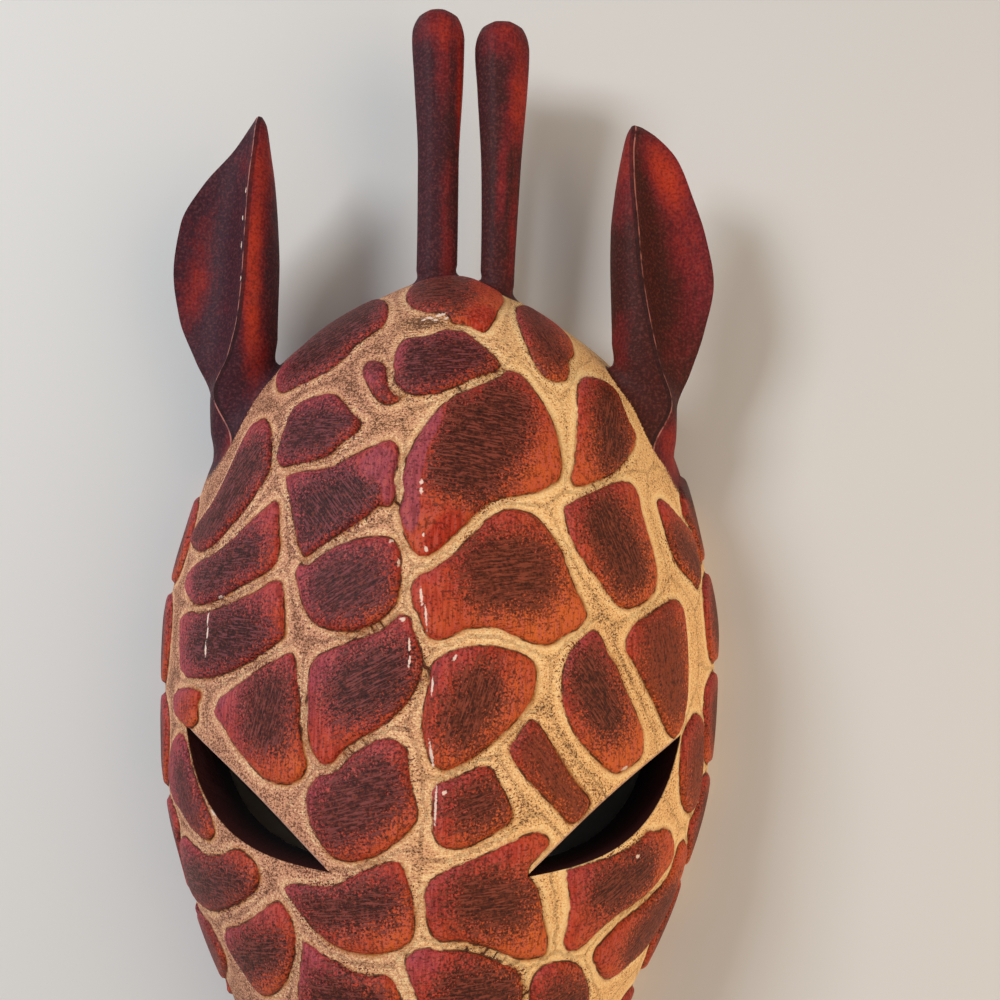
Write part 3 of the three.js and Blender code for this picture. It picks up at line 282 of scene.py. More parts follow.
    ("slot_right", 0.9, (107, -38, 13, 8, 88), 85, 0.55, [
        (96.3, -28), (95.3, -34), (95.8, -40.5), (96.8, -46), (99.3, -50), (103, -52.5), (108, -53.2),
        (112, -51), (114, -44), (114, -30), (111, -22), (106, -20.5), (100, -23.5)]),
]
# Steps of the curve between two corners, and how far outside it an outline is still looked at
OUTLINE_STEPS = 4
OUTLINE_REACH = 13.0
# Dark tops: how square their ovals are, their least distance from a patch's edge, and the band
# that they leave on a plain patch
DARK_SQUARE = 2.4
DARK_FROM_EDGE = 0.3
DARK_BAND = 4.0
# How far apart the patches lie in the noise of the strokes, so that no two look alike
STROKES_APART = 10.0

# The unseen coat goes on, plainer, along both sides and down the snout: first place along, rows,
# height above the rim, half sizes of a patch, how far rows are staggered, and lean in degrees
SIDE_FIRST, SIDE_LAST, SIDE_COUNT, SIDE_ABOVE_RIM = 42.0, -170.0, 7, 21.0
SIDE_LONG, SIDE_WIDE, SIDE_STAGGER, SIDE_LEAN = 16.0, 14.0, 6.0, 8.0
SNOUT_FIRST, SNOUT_PITCH, SNOUT_COUNT = -130.0, 22.0, 3
SNOUT_LONG, SNOUT_WIDE, SNOUT_LEAN, SNOUT_STAGGER = 16.0, 10.0, 14.0, 4.0
SNOUT_COLUMNS = (-0.5, -0.17, 0.17, 0.5)
# Corners of a plain patch's outline and how square it is
UNSEEN_CORNERS = 12
UNSEEN_SQUARE = 2.8
# Warmth of the reds along the middle, and how far it changes to the sides, warmer on the right partly as
# painted lamp light
MIDDLE_WARMTH, SIDE_WARMTH, SNOUT_WARMTH = 0.5, 0.35, 0.3

# Nostrils: place on the skin, half length, half width, depth, and turn in degrees
NOSTRIL_OUT, NOSTRIL_ALONG = 13.0, -214.0
NOSTRIL_SIZES = (6.5, 3.6, 3.0)
NOSTRIL_TURN = 55.0
NOSTRIL_STEPS, NOSTRIL_RINGS, NOSTRIL_CLOSE = 24, 17, 0.98
# Mouth line: height above the rim, thickness, depth, how far back it runs, and its cutter's size
MOUTH_HEIGHT, MOUTH_THICK, MOUTH_DEEP, MOUTH_BACK = 17.0, 2.2, 1.8, -200.0
MOUTH_SLAB = 100.0

# Horns: facets round them, steps round a ring, how sharp the facets meet from 0 for round to 1,
# and height as a share of the width
HORN_SIDES = 8
HORN_STEPS = 32
HORN_SHARPNESS = 0.6
HORN_FLAT = 0.92
# Stations of the horns: place along, place across, half width and height of the axis
LEFT_HORN = [
    (119, -5, 7.8, 31), (135, -4.9, 7.4, 32), (175, -5.4, 7.5, 36), (205, -6, 9, 40),
    (220, -6.5, 9.6, 42), (227, -6.5, 7.2, 43), (230, -6.5, 3, 43),
]
RIGHT_HORN = [
    (116, 16.8, 6.2, 30), (132, 17.2, 6.2, 31), (172, 17.6, 7.2, 35), (202, 17.4, 9.2, 39),
    (216, 17, 10, 41), (223.5, 16.9, 7.6, 42), (226.5, 16.8, 3, 42),
]

# Stations of the ears: place along, height, reach inwards, reach outwards, offset of the ridge,
# depth in front, depth behind, and dish as a share of the flank's width
EAR_FOOT = [
    (52, 20, 8, 8, 0, 8, 8, -0.2), (70, 27, 12, 12, 2, 12, 11, -0.2),
    (86, 32, 11.5, 12.5, 9, 10, 9, -0.05),
]
LEFT_EAR = EAR_FOOT + [
    (99, 34, 10.8, 18.5, 4, 11.5, 7.5, 0.14), (114, 36, 10.3, 25, 0.8, 13, 7, 0.22),
    (132, 38, 10, 28, 0, 13, 7, 0.25), (148, 40, 8.8, 26.2, 0, 12, 6.5, 0.24),
    (162, 42, 7.2, 18.6, 0, 9.5, 5.5, 0.2), (175, 43, 4.8, 8.2, 0, 6, 4, 0.12),
    (184, 44, 3, 2.6, 0, 3.2, 2.2, 0), (187.5, 44, 1, 0.8, 0, 1, 0.8, 0),
]
RIGHT_EAR = EAR_FOOT + [
    (99, 34, 10.8, 17.6, 5, 11.5, 7.5, 0.14), (114, 36, 10.3, 23, 1.6, 13, 7, 0.22),
    (132, 38, 10.3, 26.9, -0.8, 13, 7, 0.25), (148, 40, 9.8, 24.4, -1.6, 12, 6.5, 0.24),
    (162, 42, 8, 20, -2.2, 9.5, 5.5, 0.2), (175, 43, 5.4, 15.2, -1.8, 6.5, 4, 0.14),
    (184, 44, 3, 7, -0.5, 3.6, 2.4, 0), (187.5, 44, 1, 1.6, 0, 1, 0.8, 0),
]
# Side, the ear's own line at its foot and at its tip, and its stations
EARS = [(-1, 72.5, 70.0, LEFT_EAR), (1, 72.0, 65.5, RIGHT_EAR)]
# Steps in a quarter of an ear's section, and the spacing of sections along a limb
EAR_QUARTER = 10
LIMB_STEP = 1.5

# Soft joints at the feet of the ears and horns: reach, passes of smoothing, pull of a pass and
# where it fades out as a share of the reach
EAR_FILLET, HORN_FILLET = 8.0, 3.5
FILLET_PASSES = 30
FILLET_PULL, FILLET_FADE = 0.6, 1.3
# Distances to the ears and horns are taken from this place along and height on, up to this far
LIMBS_FROM, LIMBS_ABOVE = 35, -1
FAR_AWAY = 30.0
# Where the ears' and horns' paint ends at their feet, over what distance, and how the spills add
LIMB_PAINT_END, LIMB_PAINT_FADE = 0.6, 3.0
SPILL_STRENGTH = 1.6

# Red rubbed over the dark ears and horns, strongest on the faces turned to the warm lamp, where it stands
# partly for that lamp's light as painted light: middle across and along, half length, half width, turn in
# degrees and amount
DISH_BLUSHES = [
    (-91, 125, 14, 5, 80, 1.1), (-88, 146, 12, 4, 70, 0.5), (-72, 168, 10, 5, 75, 0.35),
    (76, 172, 14, 7, 118, 1.5), (86, 145, 26, 9, 108, 1.0), (84, 112, 16, 7, 75, 0.45),
    (81, 70, 12, 6, 100, 1.2), (-71, 73, 14, 4, 60, 0.9),
]
STRIP_BLUSHES = [
    (-67, 172, 14, 6, 90, 1.0), (-67.5, 150, 16, 4, 90, 1.0), (-68, 124, 22, 3.4, 90, 1.6),
    (-67, 100, 14, 4, 90, 0.95), (62, 176, 12, 6, 90, 1.0), (61, 158, 12, 5, 90, 0.75),
    (61, 108, 10, 4, 90, 0.6),
]
HORN_BLUSHES = [
    (-6, 221, 8, 8, 90, 1.0), (2.6, 196, 32, 1.8, 92, 1.3), (-4, 206, 14, 3, 90, 0.8),
    (-2, 162, 14, 2, 86, 0.7), (-1, 138, 14, 2.5, 90, 0.8),
    (18, 218, 9, 9, 90, 1.0), (24, 196, 16, 4.5, 86, 1.5), (18, 168, 16, 2, 88, 0.9),
    (22.5, 150, 22, 1.6, 88, 0.9),
]
# Pink and bright red laid flat on patches before the dark, in the same terms. The first three pink
# dabs, along the big patch's left bevel, stand partly for cool light on that face, as a painted sheen.
PINK_DABS = [
    (-7.2, 42, 9, 3.4, 97, 1.6), (-6.2, 54, 8, 3.0, 80, 1.6), (-2.2, 66, 9, 2.6, 68, 1.5),
    (-17, 54.5, 6.5, 5.5, 20, 1.5), (-14, 46, 6, 2.4, 90, 1.0), (-69, -19, 6, 4, 0, 1.0),
    (-22, 84, 3, 3, 0, 0.8), (-14, 93, 3, 6, 0, 0.7),
]
BRIGHT_DABS = [
    (3.5, 33, 9, 4, 52, 1.5), (14, 108, 7, 6.5, 90, 1.3), (43, 78, 12, 1.6, 88, 1.1),
    (12, 80, 6, 2, 60, 0.8),
]
# Grime rubbed into the ground, in the same terms
GRIME = [
    (38, -30, 24, 13, 128, 1.0), (57, -5, 30, 7, 113, 0.9), (-4, 106, 9, 4, 0, 1.3),
    (-22, 88, 16, 7, 40, 0.5), (22, -52, 14, 8, 20, 0.7), (0, -22, 26, 4, 90, 0.5),
]
# Where the ears' dark paint runs down onto the head, in the same terms
SPILLS = [(-79, 78, 20, 8, 72, 1.0), (82, 76, 22, 8, 108, 1.0)]
# Spots of bare chalky wood: middle across and along, half length, half width and turn
CHIPS = [
    (-3.7, 48.6, 0.8, 0.5, 80), (-3.6, 45.8, 0.9, 0.5, 95), (-2.4, 32.3, 0.6, 0.4, 90),
    (-1.4, 28.0, 0.9, 0.5, 110), (-12.0, 30.4, 0.7, 0.5, 20), (-9.5, 23.9, 1.1, 0.4, 92),
    (-7.4, 7.1, 0.8, 0.7, 0), (-5.2, -0.3, 1.8, 0.35, 95), (-5.0, -5.2, 1.5, 0.35, 85),
    (8.2, -3.8, 1.0, 0.5, 60), (1.9, -12.0, 2.2, 0.35, 88), (2.3, -31.8, 3.6, 0.45, 100),
    (-2.2, 14.0, 2.6, 0.45, 98), (-0.6, 8.0, 3.2, 0.32, 96), (3.9, -46.1, 5.6, 0.35, 89),
    (6.4, -42.0, 0.8, 0.5, 30), (60.8, -36.4, 1.1, 0.5, 30), (65.9, -63.8, 0.7, 0.5, 40),
    (-72.0, -45.9, 1.5, 0.9, -50), (-69.5, -50.4, 1.8, 0.5, -55), (-67.5, -53.9, 1.2, 0.6, -50),
    (-68.7, 13.7, 1.0, 0.4, 10), (-72.9, 6.6, 2.0, 0.3, 92), (-72.6, 2.0, 2.0, 0.3, 88),
    (-73.0, -3.3, 2.2, 0.35, 93), (-1.0, 108.8, 1.6, 0.6, 20), (-4.6, 107.6, 1.2, 0.5, -10),
    (1.0, 107.4, 0.9, 0.4, 60), (-2.8, 106.6, 1.0, 0.4, 0), (-6.6, 106.8, 0.8, 0.4, 30),
    (-71.8, 157.0, 1.1, 0.3, 88), (-72.7, 147.4, 0.9, 0.3, 90), (-72.6, 137.5, 1.2, 0.3, 92),
    (-72.0, 125.2, 0.8, 0.3, 90), (-10.1, 228.3, 0.6, 0.4, 60), (52.0, -58.4, 1.4, 0.3, 20),
]


class MaskSizes(bpy.types.PropertyGroup):
    """Sizes of the carving that a user would change."""

    grid: FloatProperty(
        name="Grid", description="Spacing of the fine mesh", default=1.36 * MM, unit="LENGTH")
    wall: FloatProperty(
        name="Wall", description="Thickness of the shell", default=12.0 * MM, unit="LENGTH")
    relief: FloatProperty(
        name="Relief", description="How far a patch stands up at its edge",
        default=1.48 * MM, unit="LENGTH")
    swell: FloatProperty(
        name="Swell", description="How much more a patch rises to its middle",
        default=0.4 * MM, unit="LENGTH")
    bevel: FloatProperty(
        name="Bevel", description="Width of a patch's rounded shoulder",
        default=2.6 * MM, unit="LENGTH")
    groove: FloatProperty(
        name="Groove", description="Least width of the grooves between patches",
        default=2.8 * MM, unit="LENGTH")


def linear(hex_colour):
    """The linear values of an sRGB hex colour."""
    parts = [int(hex_colour[i:i + 2], 16) / 255 for i in (1, 3, 5)]
    return tuple(p / 12.92 if p <= 0.04045 else ((p + 0.055) / 1.055) ** 2.4 for p in parts)


def colour_property(name, description, hex_colour):
    """A colour that a user can change, from its sRGB hex value."""
    return FloatVectorProperty(
        name=name, description=description, default=linear(hex_colour),
        subtype="COLOR", min=0.0, max=1.0)


class MaskColours(bpy.types.PropertyGroup):
    """Paints of the mask and the stage's floor."""

    # Two copies of one groove cream: painted shade on the left, painted light of the warm lamp on the right
    ground_shaded_left: colour_property("Ground left", "Pinkish cream of the left grooves", "#d89a78")
    ground_lit_right: colour_property("Ground right", "Warm cream of the right grooves", "#ffcb86")
    crimson: colour_property("Crimson", "Coolest red of the patches", "#a6424c")
    red: colour_property("Red", "Middle red of the patches", "#b83e28")
    orange: colour_property("Orange", "Warmest red of the patches", "#d8662a")
    # Two copies of one dark: the right one is painted lighter and browner where the warm lamp's light falls
    dark_cool_lit_left: colour_property("Dark left", "Dark tops of the cooler patches", "#351a1b")
    dark_warm_lit_right: colour_property("Dark right", "Dark tops of the warmer patches", "#522510")
    floor: colour_property("Floor", "The plain pale floor", "#d4d3cf")


# Numbers along a line

def smooth_through(places, values):
    """A smooth curve through stations that never overshoots them."""
    places, values = np.array(places, float), np.array(values, float)
    steps = np.diff(places)
    rises = np.diff(values) / steps
    product = rises[:-1] * rises[1:]
    total = rises[:-1] + rises[1:]
    middle = np.where(product > 0, 2 * product / np.where(total == 0, 1, total), 0)
    slopes = np.concatenate([rises[:1], middle, rises[-1:]])

    def at(place):
        held = np.clip(place, places[0], places[-1])
        i = np.clip(np.searchsorted(places, held) - 1, 0, len(steps) - 1)
        t = (held - places[i]) / steps[i]
        bend = t * t * (3 - 2 * t)
        start = t * (1 - t) ** 2 * steps[i] * slopes[i]
        end = t * t * (t - 1) * steps[i] * slopes[i + 1]
        return values[i] * (1 - bend) + values[i + 1] * bend + start + end

    return at


def ease(x):
    """A smooth step from 0 to 1."""
    t = np.clip(x, 0, 1)
    return t * t * (3 - 2 * t)


_places, _halves, _crests = (np.array(column, float) for column in zip(*HEAD_STATIONS))
_half_squared = smooth_through(_places, _halves ** 2)
_crest_squared = smooth_through(_places, _crests ** 2)


def half_at(along):
    """Half width of the head's smooth form at the rim."""
    return np.sqrt(np.maximum(_half_squared(along), 0))


def crest_at(along):
    """Height of the head's smooth form along its middle."""
    return np.sqrt(np.maximum(_crest_squared(along), 0))


def crowded_places(first, last, count):
    """Places that crowd towards both ends, where a dome closes fastest."""
    even = np.linspace(0, 1, count + 1)
    crowded = (1 - np.cos(np.pi * even)) / 2
    return first + (last - first) * ((1 - CROWDING) * even + CROWDING * crowded)


def dome_ring(turns, along, half, crest):
    """A domed section; turns run from -90 degrees at the left rim to 90 at the right."""
    across = np.sign(turns) * np.abs(np.sin(turns)) ** (2 / KEEL)
    height = crest * np.maximum(np.cos(turns), 0)
    return np.stack([half * across, np.full(len(turns), along), height], axis=1)


# The head's skin, addressed by distance out from the crest and place along

def side_section(along):
    """Half of the section at a place along, from the crest out, and the distances along it."""
    ring = dome_ring(SIDE_TURNS, along, float(half_at(along)), float(crest_at(along)))
    steps = np.linalg.norm(np.diff(ring, axis=0), axis=1)
    return ring, np.concatenate([[0], np.cumsum(steps)])


def skin_point(out, along):
    """The point at an address on the skin."""
    ring, lengths = side_section(along)
    point = np.array([np.interp(abs(out), lengths, ring[:, axis]) for axis in range(3)])
    if out < 0:
        point[0] = -point[0]
    return point


def reach_at(along):
    """Distance over the skin from the crest to the rim."""
    return float(side_section(along)[1][-1])


SIDE_TURNS = np.linspace(0, np.pi / 2, SIDE_STEPS + 1)
TABLE_PLACES = np.linspace(CHIN + TABLE_GAP, CROWN - TABLE_GAP, TABLE_ROWS)
LENGTH_TABLE = np.array([side_section(place)[1] for place in TABLE_PLACES])


def skin_places(points):
    """The addresses of points on the skin: distance out from the crest and place along."""
    x, y, z = points.T
    along = np.clip(y, TABLE_PLACES[0], TABLE_PLACES[-1])
    turn = np.arctan2((np.abs(x) / half_at(along)) ** (KEEL / 2), np.maximum(z, 0) / crest_at(along))
    row = (along - TABLE_PLACES[0]) / (TABLE_PLACES[1] - TABLE_PLACES[0])
    column = turn / SIDE_TURNS[1]
    i = np.clip(row.astype(int), 0, len(TABLE_PLACES) - 2)
    j = np.clip(column.astype(int), 0, len(SIDE_TURNS) - 2)
    s, t = row - i, column - j
    length = (
        (LENGTH_TABLE[i, j] * (1 - s) + LENGTH_TABLE[i + 1, j] * s) * (1 - t)
        + (LENGTH_TABLE[i, j + 1] * (1 - s) + LENGTH_TABLE[i + 1, j + 1] * s) * t)
    return np.stack([np.sign(x) * length, y], axis=1)


def unit(vector):
    return vector / np.linalg.norm(vector)


def skin_frame(out, along):
    """The point, the way across, the way uphill and the normal there."""
    across = unit(skin_point(out + 1, along) - skin_point(out - 1, along))
    uphill = skin_point(out, along + 1) - skin_point(out, along - 1)
    normal = unit(np.cross(across, uphill))
    return skin_point(out, along), across, np.cross(normal, across), normal


def head_level(points):
    """Under 0 inside the head's smooth form, 0 on its skin."""
    x, y, z = points.T
    half = np.maximum(half_at(y), THINNEST)
    crest = np.maximum(crest_at(y), THINNEST)
    return (np.abs(x) / half) ** KEEL + (z / crest) ** 2 - 1


def head_distance(points):
    """About how far points lie outside the head's skin, and the skin's normals there."""
    step = 0.05
    slope = np.empty_like(points)
    for axis in range(3):
        nudge = np.zeros(3)
        nudge[axis] = step
        slope[:, axis] = (head_level(points + nudge) - head_level(points - nudge)) / (2 * step)
    steepness = np.maximum(np.linalg.norm(slope, axis=1), 1e-6)
    return head_level(points) / steepness, slope / steepness[:, None]


# The coat

def within_oval(a, b, long, wide, square):
    """About how far points lie inside a squarish oval, from their shares of its half sizes."""
    p, q = np.abs(a) + 1e-9, np.abs(b) + 1e-9
    level = (p ** square + q ** square) ** (1 / square)
    steepness = np.hypot(p ** (square - 1) / long, q ** (square - 1) / wide)
    return (1 - level) * level ** (square - 1) / steepness


def smooth_outline(corners):
    """A closed smooth curve through an outline's corners."""
    corners = np.array(corners, float)
    after = np.roll(corners, -1, axis=0)
    chords = np.linalg.norm(after - corners, axis=1)[:, None]
    earlier = np.roll(chords, 1, axis=0)
    ahead = (after - corners) / chords
    behind = np.roll(ahead, 1, axis=0)
    slopes = (ahead * earlier + behind * chords) / (chords + earlier)
    pieces = []
    for t in np.arange(OUTLINE_STEPS) / OUTLINE_STEPS:
        bend = t * t * (3 - 2 * t)
        start = t * (1 - t) ** 2 * chords * slopes
        end = t * t * (t - 1) * chords * np.roll(slopes, -1, axis=0)
        pieces.append(corners * (1 - bend) + after * bend + start + end)
    return np.stack(pieces, axis=1).reshape(-1, 2)


def squarish_corners(out, along, long, wide, turn):
    """Corners round a plain squarish oval."""
    angle = math.radians(turn)
    corners = []
    for i in range(UNSEEN_CORNERS):
        bearing = 2 * math.pi * (i + 0.5) / UNSEEN_CORNERS
        c, s = math.cos(bearing), math.sin(bearing)
        size = (abs(c) ** UNSEEN_SQUARE + abs(s) ** UNSEEN_SQUARE) ** (-1 / UNSEEN_SQUARE)
        u, v = long * size * c, wide * size * s
        corners.append((
            out + u * math.cos(angle) - v * math.sin(angle),
            along + u * math.sin(angle) + v * math.cos(angle)))
    return corners


def inside_outline(places, outline):
    """How far places lie inside a closed outline, under 0 outside it."""
    nearest = np.full(len(places), np.inf)
    within = np.zeros(len(places), bool)
    x, y = places.T
    for (ax, ay), (bx, by) in zip(outline, np.roll(outline, -1, axis=0)):
        dx, dy = bx - ax, by - ay
        share = np.clip(((x - ax) * dx + (y - ay) * dy) / (dx * dx + dy * dy), 0, 1)
        nearest = np.minimum(nearest, (x - ax - share * dx) ** 2 + (y - ay - share * dy) ** 2)
        if ay != by:
            within ^= ((ay > y) != (by > y)) & (x < ax + (y - ay) * dx / dy)
    return np.where(within, 1, -1) * np.sqrt(nearest)


class Patch:
    """One raised patch: its outline on the skin, and how it is painted."""

    def __init__(self, warmth, dark, stroke, veil, corners):
        self.warmth, self.veil = warmth, veil
        self.dark = dark
        self.stroke = math.radians(stroke)
        self.outline = smooth_outline(corners)
        self.low = self.outline.min(axis=0) - OUTLINE_REACH
        self.high = self.outline.max(axis=0) + OUTLINE_REACH
        self.middle = self.outline.mean(axis=0)
        self.span = float(np.ptp(self.outline, axis=0).mean())

    def near(self, places):
        return np.flatnonzero(np.all((places > self.low) & (places < self.high), axis=1))

    def paint(self, places, inside):
        """How far places lie inside the dark top, their places along and across the strokes,
        and how far they lie towards the patch's right and lower side."""
        out, along, long, wide, turn = self.dark
        u, v = turned(places - (out, along), math.radians(turn))
        dark = within_oval(u / long, v / wide, long, wide, DARK_SQUARE)
        offset = places - self.middle
        along_stroke, across_stroke = turned(offset, self.stroke)
        lee = (offset[:, 0] - offset[:, 1]) / self.span
        return np.minimum(dark, inside - DARK_FROM_EDGE), along_stroke, across_stroke, lee


def turned(offsets, angle):
    """Offsets seen along and across a way that is turned by the angle."""
    c, s = math.cos(angle), math.sin(angle)
    return offsets[:, 0] * c + offsets[:, 1] * s, offsets[:, 1] * c - offsets[:, 0] * s


def plain_patch(warmth, out, along, long, wide, turn):
    """A patch of the unseen coat."""
    dark = (out, along, long - DARK_BAND, wide - DARK_BAND, turn)
    return Patch(warmth, dark, turn, 1, squarish_corners(out, along, long, wide, turn))


def all_patches():
    """The patches read off the front and then the plain ones, which give way to them."""
    coat = [Patch(*row) for _name, *row in PATCHES]
    for i in range(SIDE_COUNT):
        for side in (-1, 1):
            along = SIDE_FIRST + (SIDE_LAST - SIDE_FIRST) * i / (SIDE_COUNT - 1) + side * SIDE_STAGGER
            out = side * (reach_at(along) - SIDE_ABOVE_RIM)
            turn = 90 + side * SIDE_LEAN
            warmth = MIDDLE_WARMTH + SIDE_WARMTH * side
            coat.append(plain_patch(warmth, out, along, SIDE_LONG, SIDE_WIDE, turn))
    for row in range(SNOUT_COUNT):
        for i, column in enumerate(SNOUT_COLUMNS):
            along = SNOUT_FIRST - SNOUT_PITCH * row + (SNOUT_STAGGER if i % 2 else -SNOUT_STAGGER)
            long = SNOUT_LONG * float(half_at(along) / half_at(SNOUT_FIRST))
            turn = SNOUT_LEAN if column < 0 else -SNOUT_LEAN
            out = column * reach_at(along)
            warmth = MIDDLE_WARMTH + SNOUT_WARMTH * column
            coat.append(plain_patch(warmth, out, along, long, SNOUT_WIDE, turn))
    return coat


def coat_fields(coat, points, groove):
    """For each point: how far it lies inside its nearest patch, that patch's number, and the
    point's address on the skin. A later patch gives way to the ones before it."""
    places = skin_places(points)
    best = np.full(len(points), FAR_OUTSIDE)
    number = np.zeros(len(points), int)
    for i, patch in enumerate(coat):
        near = patch.near(places)
        own = inside_outline(places[near], patch.outline)
        own = np.minimum(own, -best[near] - groove)
        wins = own > best[near]
        best[near[wins]] = own[wins]
        number[near[wins]] = i
    return np.minimum(best, np.maximum(points[:, 2] - RIM_BAND, FAR_OUTSIDE)), number, places


# Meshes from rings of points

def ring_faces(rings, count):
    """Quads between neighbouring rings of the same length."""
    faces = []
    for r in range(rings - 1):
        for i in range(count):
            a = r * count + i
            b = r * count + (i + 1) % count
            faces.append((a, b, b + count, a + count))
    return faces


def ring_mesh(rings):
    """Vertices and faces of a closed body through rings of the same length."""
    count = len(rings[0])
    vertices = np.concatenate(list(rings) + [[np.mean(rings[0], axis=0)], [np.mean(rings[-1], axis=0)]])
    faces = ring_faces(len(rings), count)
    foot = len(rings) * count
    last = (len(rings) - 1) * count
    for i in range(count):
        following = (i + 1) % count
        faces.append((foot, following, i))
        faces.append((foot + 1, last + i, last + following))
    return vertices, faces


def head_body(inset=0.0):
    """The head's smooth form, or the same form that much smaller."""
    turns = np.linspace(-np.pi / 2, np.pi / 2, HEAD_STEPS + 1)
    rings = []
    for along in crowded_places(CHIN + inset + RING_GAP, CROWN - inset - RING_GAP, HEAD_RINGS):
        ring = dome_ring(turns, along, float(half_at(along)) - inset, float(crest_at(along)) - inset)
        skirt = ring[[-1, 0]] - [0, 0, SKIRT]
        rings.append(np.concatenate([ring, skirt]))
    return ring_mesh(rings)


def horn_body(stations):
    """A horn with eight flat facets that meet in softened corners."""
    places, across, halves, heights = (np.array(c, float) for c in zip(*stations))
    curves = [smooth_through(places, values) for values in (across, halves, heights)]
    turns = -2 * np.pi * np.arange(HORN_STEPS) / HORN_STEPS
    facet = 2 * np.pi / HORN_SIDES
    off_middle = (turns + facet / 2) % facet - facet / 2
    girth = np.cos(off_middle) ** -HORN_SHARPNESS
    rings = []
    for along in np.arange(places[0], places[-1] + 0.01, LIMB_STEP / 2):
        x, half, up = (float(curve(along)) for curve in curves)
        rings.append(np.stack([
            x + half * girth * np.cos(turns),
            np.full(HORN_STEPS, along),
            up + HORN_FLAT * half * girth * np.sin(turns),
        ], axis=1))
    return ring_mesh(rings)


def ear_section(along, up, inner, outer, ridge, front, back, dish):
    """A section of an ear: rounded inner strip and back, and a dished outer flank."""
    quarter = np.pi / 2 / EAR_QUARTER
    flank = math.hypot(outer - ridge, front)
    inner_turns = quarter * np.arange(EAR_QUARTER)
    inner_part = np.stack([
        ridge - (ridge + inner) * np.sin(inner_turns),
        front * np.cos(inner_turns),
    ], 1)
    back_turns = quarter * np.arange(2 * EAR_QUARTER)
    reach = np.cos(back_turns)
    back_part = np.stack([
        np.where(reach > 0, -inner * reach, -outer * reach),
        -back * np.sin(back_turns),
    ], 1)
    t = np.arange(EAR_QUARTER) / EAR_QUARTER
    sink = dish * flank * np.sin(np.pi * t)
    dish_part = np.stack([
        outer + (ridge - outer) * t - sink * front / flank,
        front * t - sink * (outer - ridge) / flank,
    ], 1)
    flat = np.concatenate([inner_part, back_part, dish_part])
    return np.stack([flat[:, 0], np.full(len(flat), along), up + flat[:, 1]], axis=1)


def ear_curves(stations):
    """A smooth curve along the ear for each measure of its section."""
    columns = [np.array(c, float) for c in zip(*stations)]
    return [smooth_through(columns[0], values) for values in columns[1:]]


def ear_line(foot, tip, stations, along):
    """How far out the ear's own line lies at a place along."""
    first, last = stations[0][0], stations[-1][0]
    return foot + (tip - foot) * (along - first) / (last - first)


def ear_body(side, foot, tip, stations):
    """A leaf-shaped ear on its foot."""
    curves = ear_curves(stations)
    rings = []
    for along in np.arange(stations[0][0], stations[-1][0] + 0.01, LIMB_STEP):
        ring = ear_section(along, *(float(curve(along)) for curve in curves))
        ring[:, 0] = side * (ear_line(foot, tip, stations, along) + ring[:, 0])
        rings.append(ring[::-1] if side > 0 else ring)
    return ring_mesh(rings)


def beyond_ridge(points):
    """How far points lie outwards of the ridge of the ear on their side, seen from the front."""
    found = np.zeros(len(points))
    for side, foot, tip, stations in EARS:
        own = points[:, 0] * side > 0
        along = np.clip(points[own, 1], stations[0][0], stations[-1][0])
        ridge = ear_line(foot, tip, stations, along) + ear_curves(stations)[3](along)
        found[own] = side * points[own, 0] - ridge
    return found


def hollow_body(wall):
    """The hollow for the wearer's face, with rows of shallow gouge marks."""
    turns = np.linspace(-np.pi / 2, np.pi / 2, HOLLOW_STEPS + 1)
    middle = (HOLLOW_CHIN + HOLLOW_CROWN) / 2
    reach = (HOLLOW_CROWN - HOLLOW_CHIN) / 2
    rings = []
    for along in crowded_places(HOLLOW_CHIN + RING_GAP, HOLLOW_CROWN - RING_GAP, HOLLOW_RINGS):
        close = math.sqrt(1 - abs((along - middle) / reach) ** HOLLOW_CORNER)
        half = (float(half_at(along)) - wall) * close
        crest = (float(crest_at(along)) - wall) * close + BELOW_RIM
        girth = turns * (half + crest) / 2
        row = np.round(girth / GOUGE_WIDE)
        across_gouge = np.cos(np.pi * (girth / GOUGE_WIDE - row))
        along_gouge = np.cos(np.pi * (along / GOUGE_LONG + row * GOUGE_SHIFT)) ** 2
        depth = GOUGE_DEEP * (across_gouge * (1 - GOUGE_FADE + GOUGE_FADE * along_gouge) - 1) * close
        ring = dome_ring(turns, along, 1.0, 1.0)
        ring[:, 0] *= half + depth
        ring[:, 2] *= crest + depth
        ring[:, 2] -= BELOW_RIM
        rings.append(ring)
    return ring_mesh(rings)


def slot_frame(side, outer_corner, inner_corner):
    """Where an eye slot starts, the ways along it, up its lid and through the wall, its length."""
    outer = skin_point(side * outer_corner[0], outer_corner[1])
    inner = skin_point(side * inner_corner[0], inner_corner[1])
    middle_out, middle_along = ((a + b) / 2 for a, b in zip(outer_corner, inner_corner))
    normal = skin_frame(side * middle_out, middle_along)[3]
    lengthwise = unit(inner - outer)
    through = unit(normal - lengthwise * (normal @ lengthwise))
    upward = np.cross(through, lengthwise)
    if upward[1] < 0:
        upward = -upward
    return outer, lengthwise, upward, through, float(np.linalg.norm(inner - outer))


def slot_lids(t):
    """The lower and the upper lid of a slot, off the line between its corners."""
    lower = -SLOT_LOWER_BOW * np.sin(np.pi * t ** SLOT_LOWER_LEAN)
    return lower, SLOT_UPPER_BOW * np.sin(np.pi * t)


def slot_body(side, outer_corner, inner_corner):
    """An eye slot's outline, drawn straight through the wall."""
    outer, lengthwise, upward, through, length = slot_frame(side, outer_corner, inner_corner)
    t = np.linspace(0, 1, SLOT_STEPS + 1)
    lower, upper = slot_lids(t)
    flat = np.concatenate([
        np.stack([length * t, lower], 1), np.stack([length * t, upper], 1)[-2:0:-1]])
    outline = outer + flat[:, :1] * lengthwise + flat[:, 1:] * upward
    rings = [outline - through * SLOT_REACH_IN, outline + through * SLOT_REACH_OUT]
    if np.cross(lengthwise, upward) @ through < 0:
        rings.reverse()
    return ring_mesh(rings)


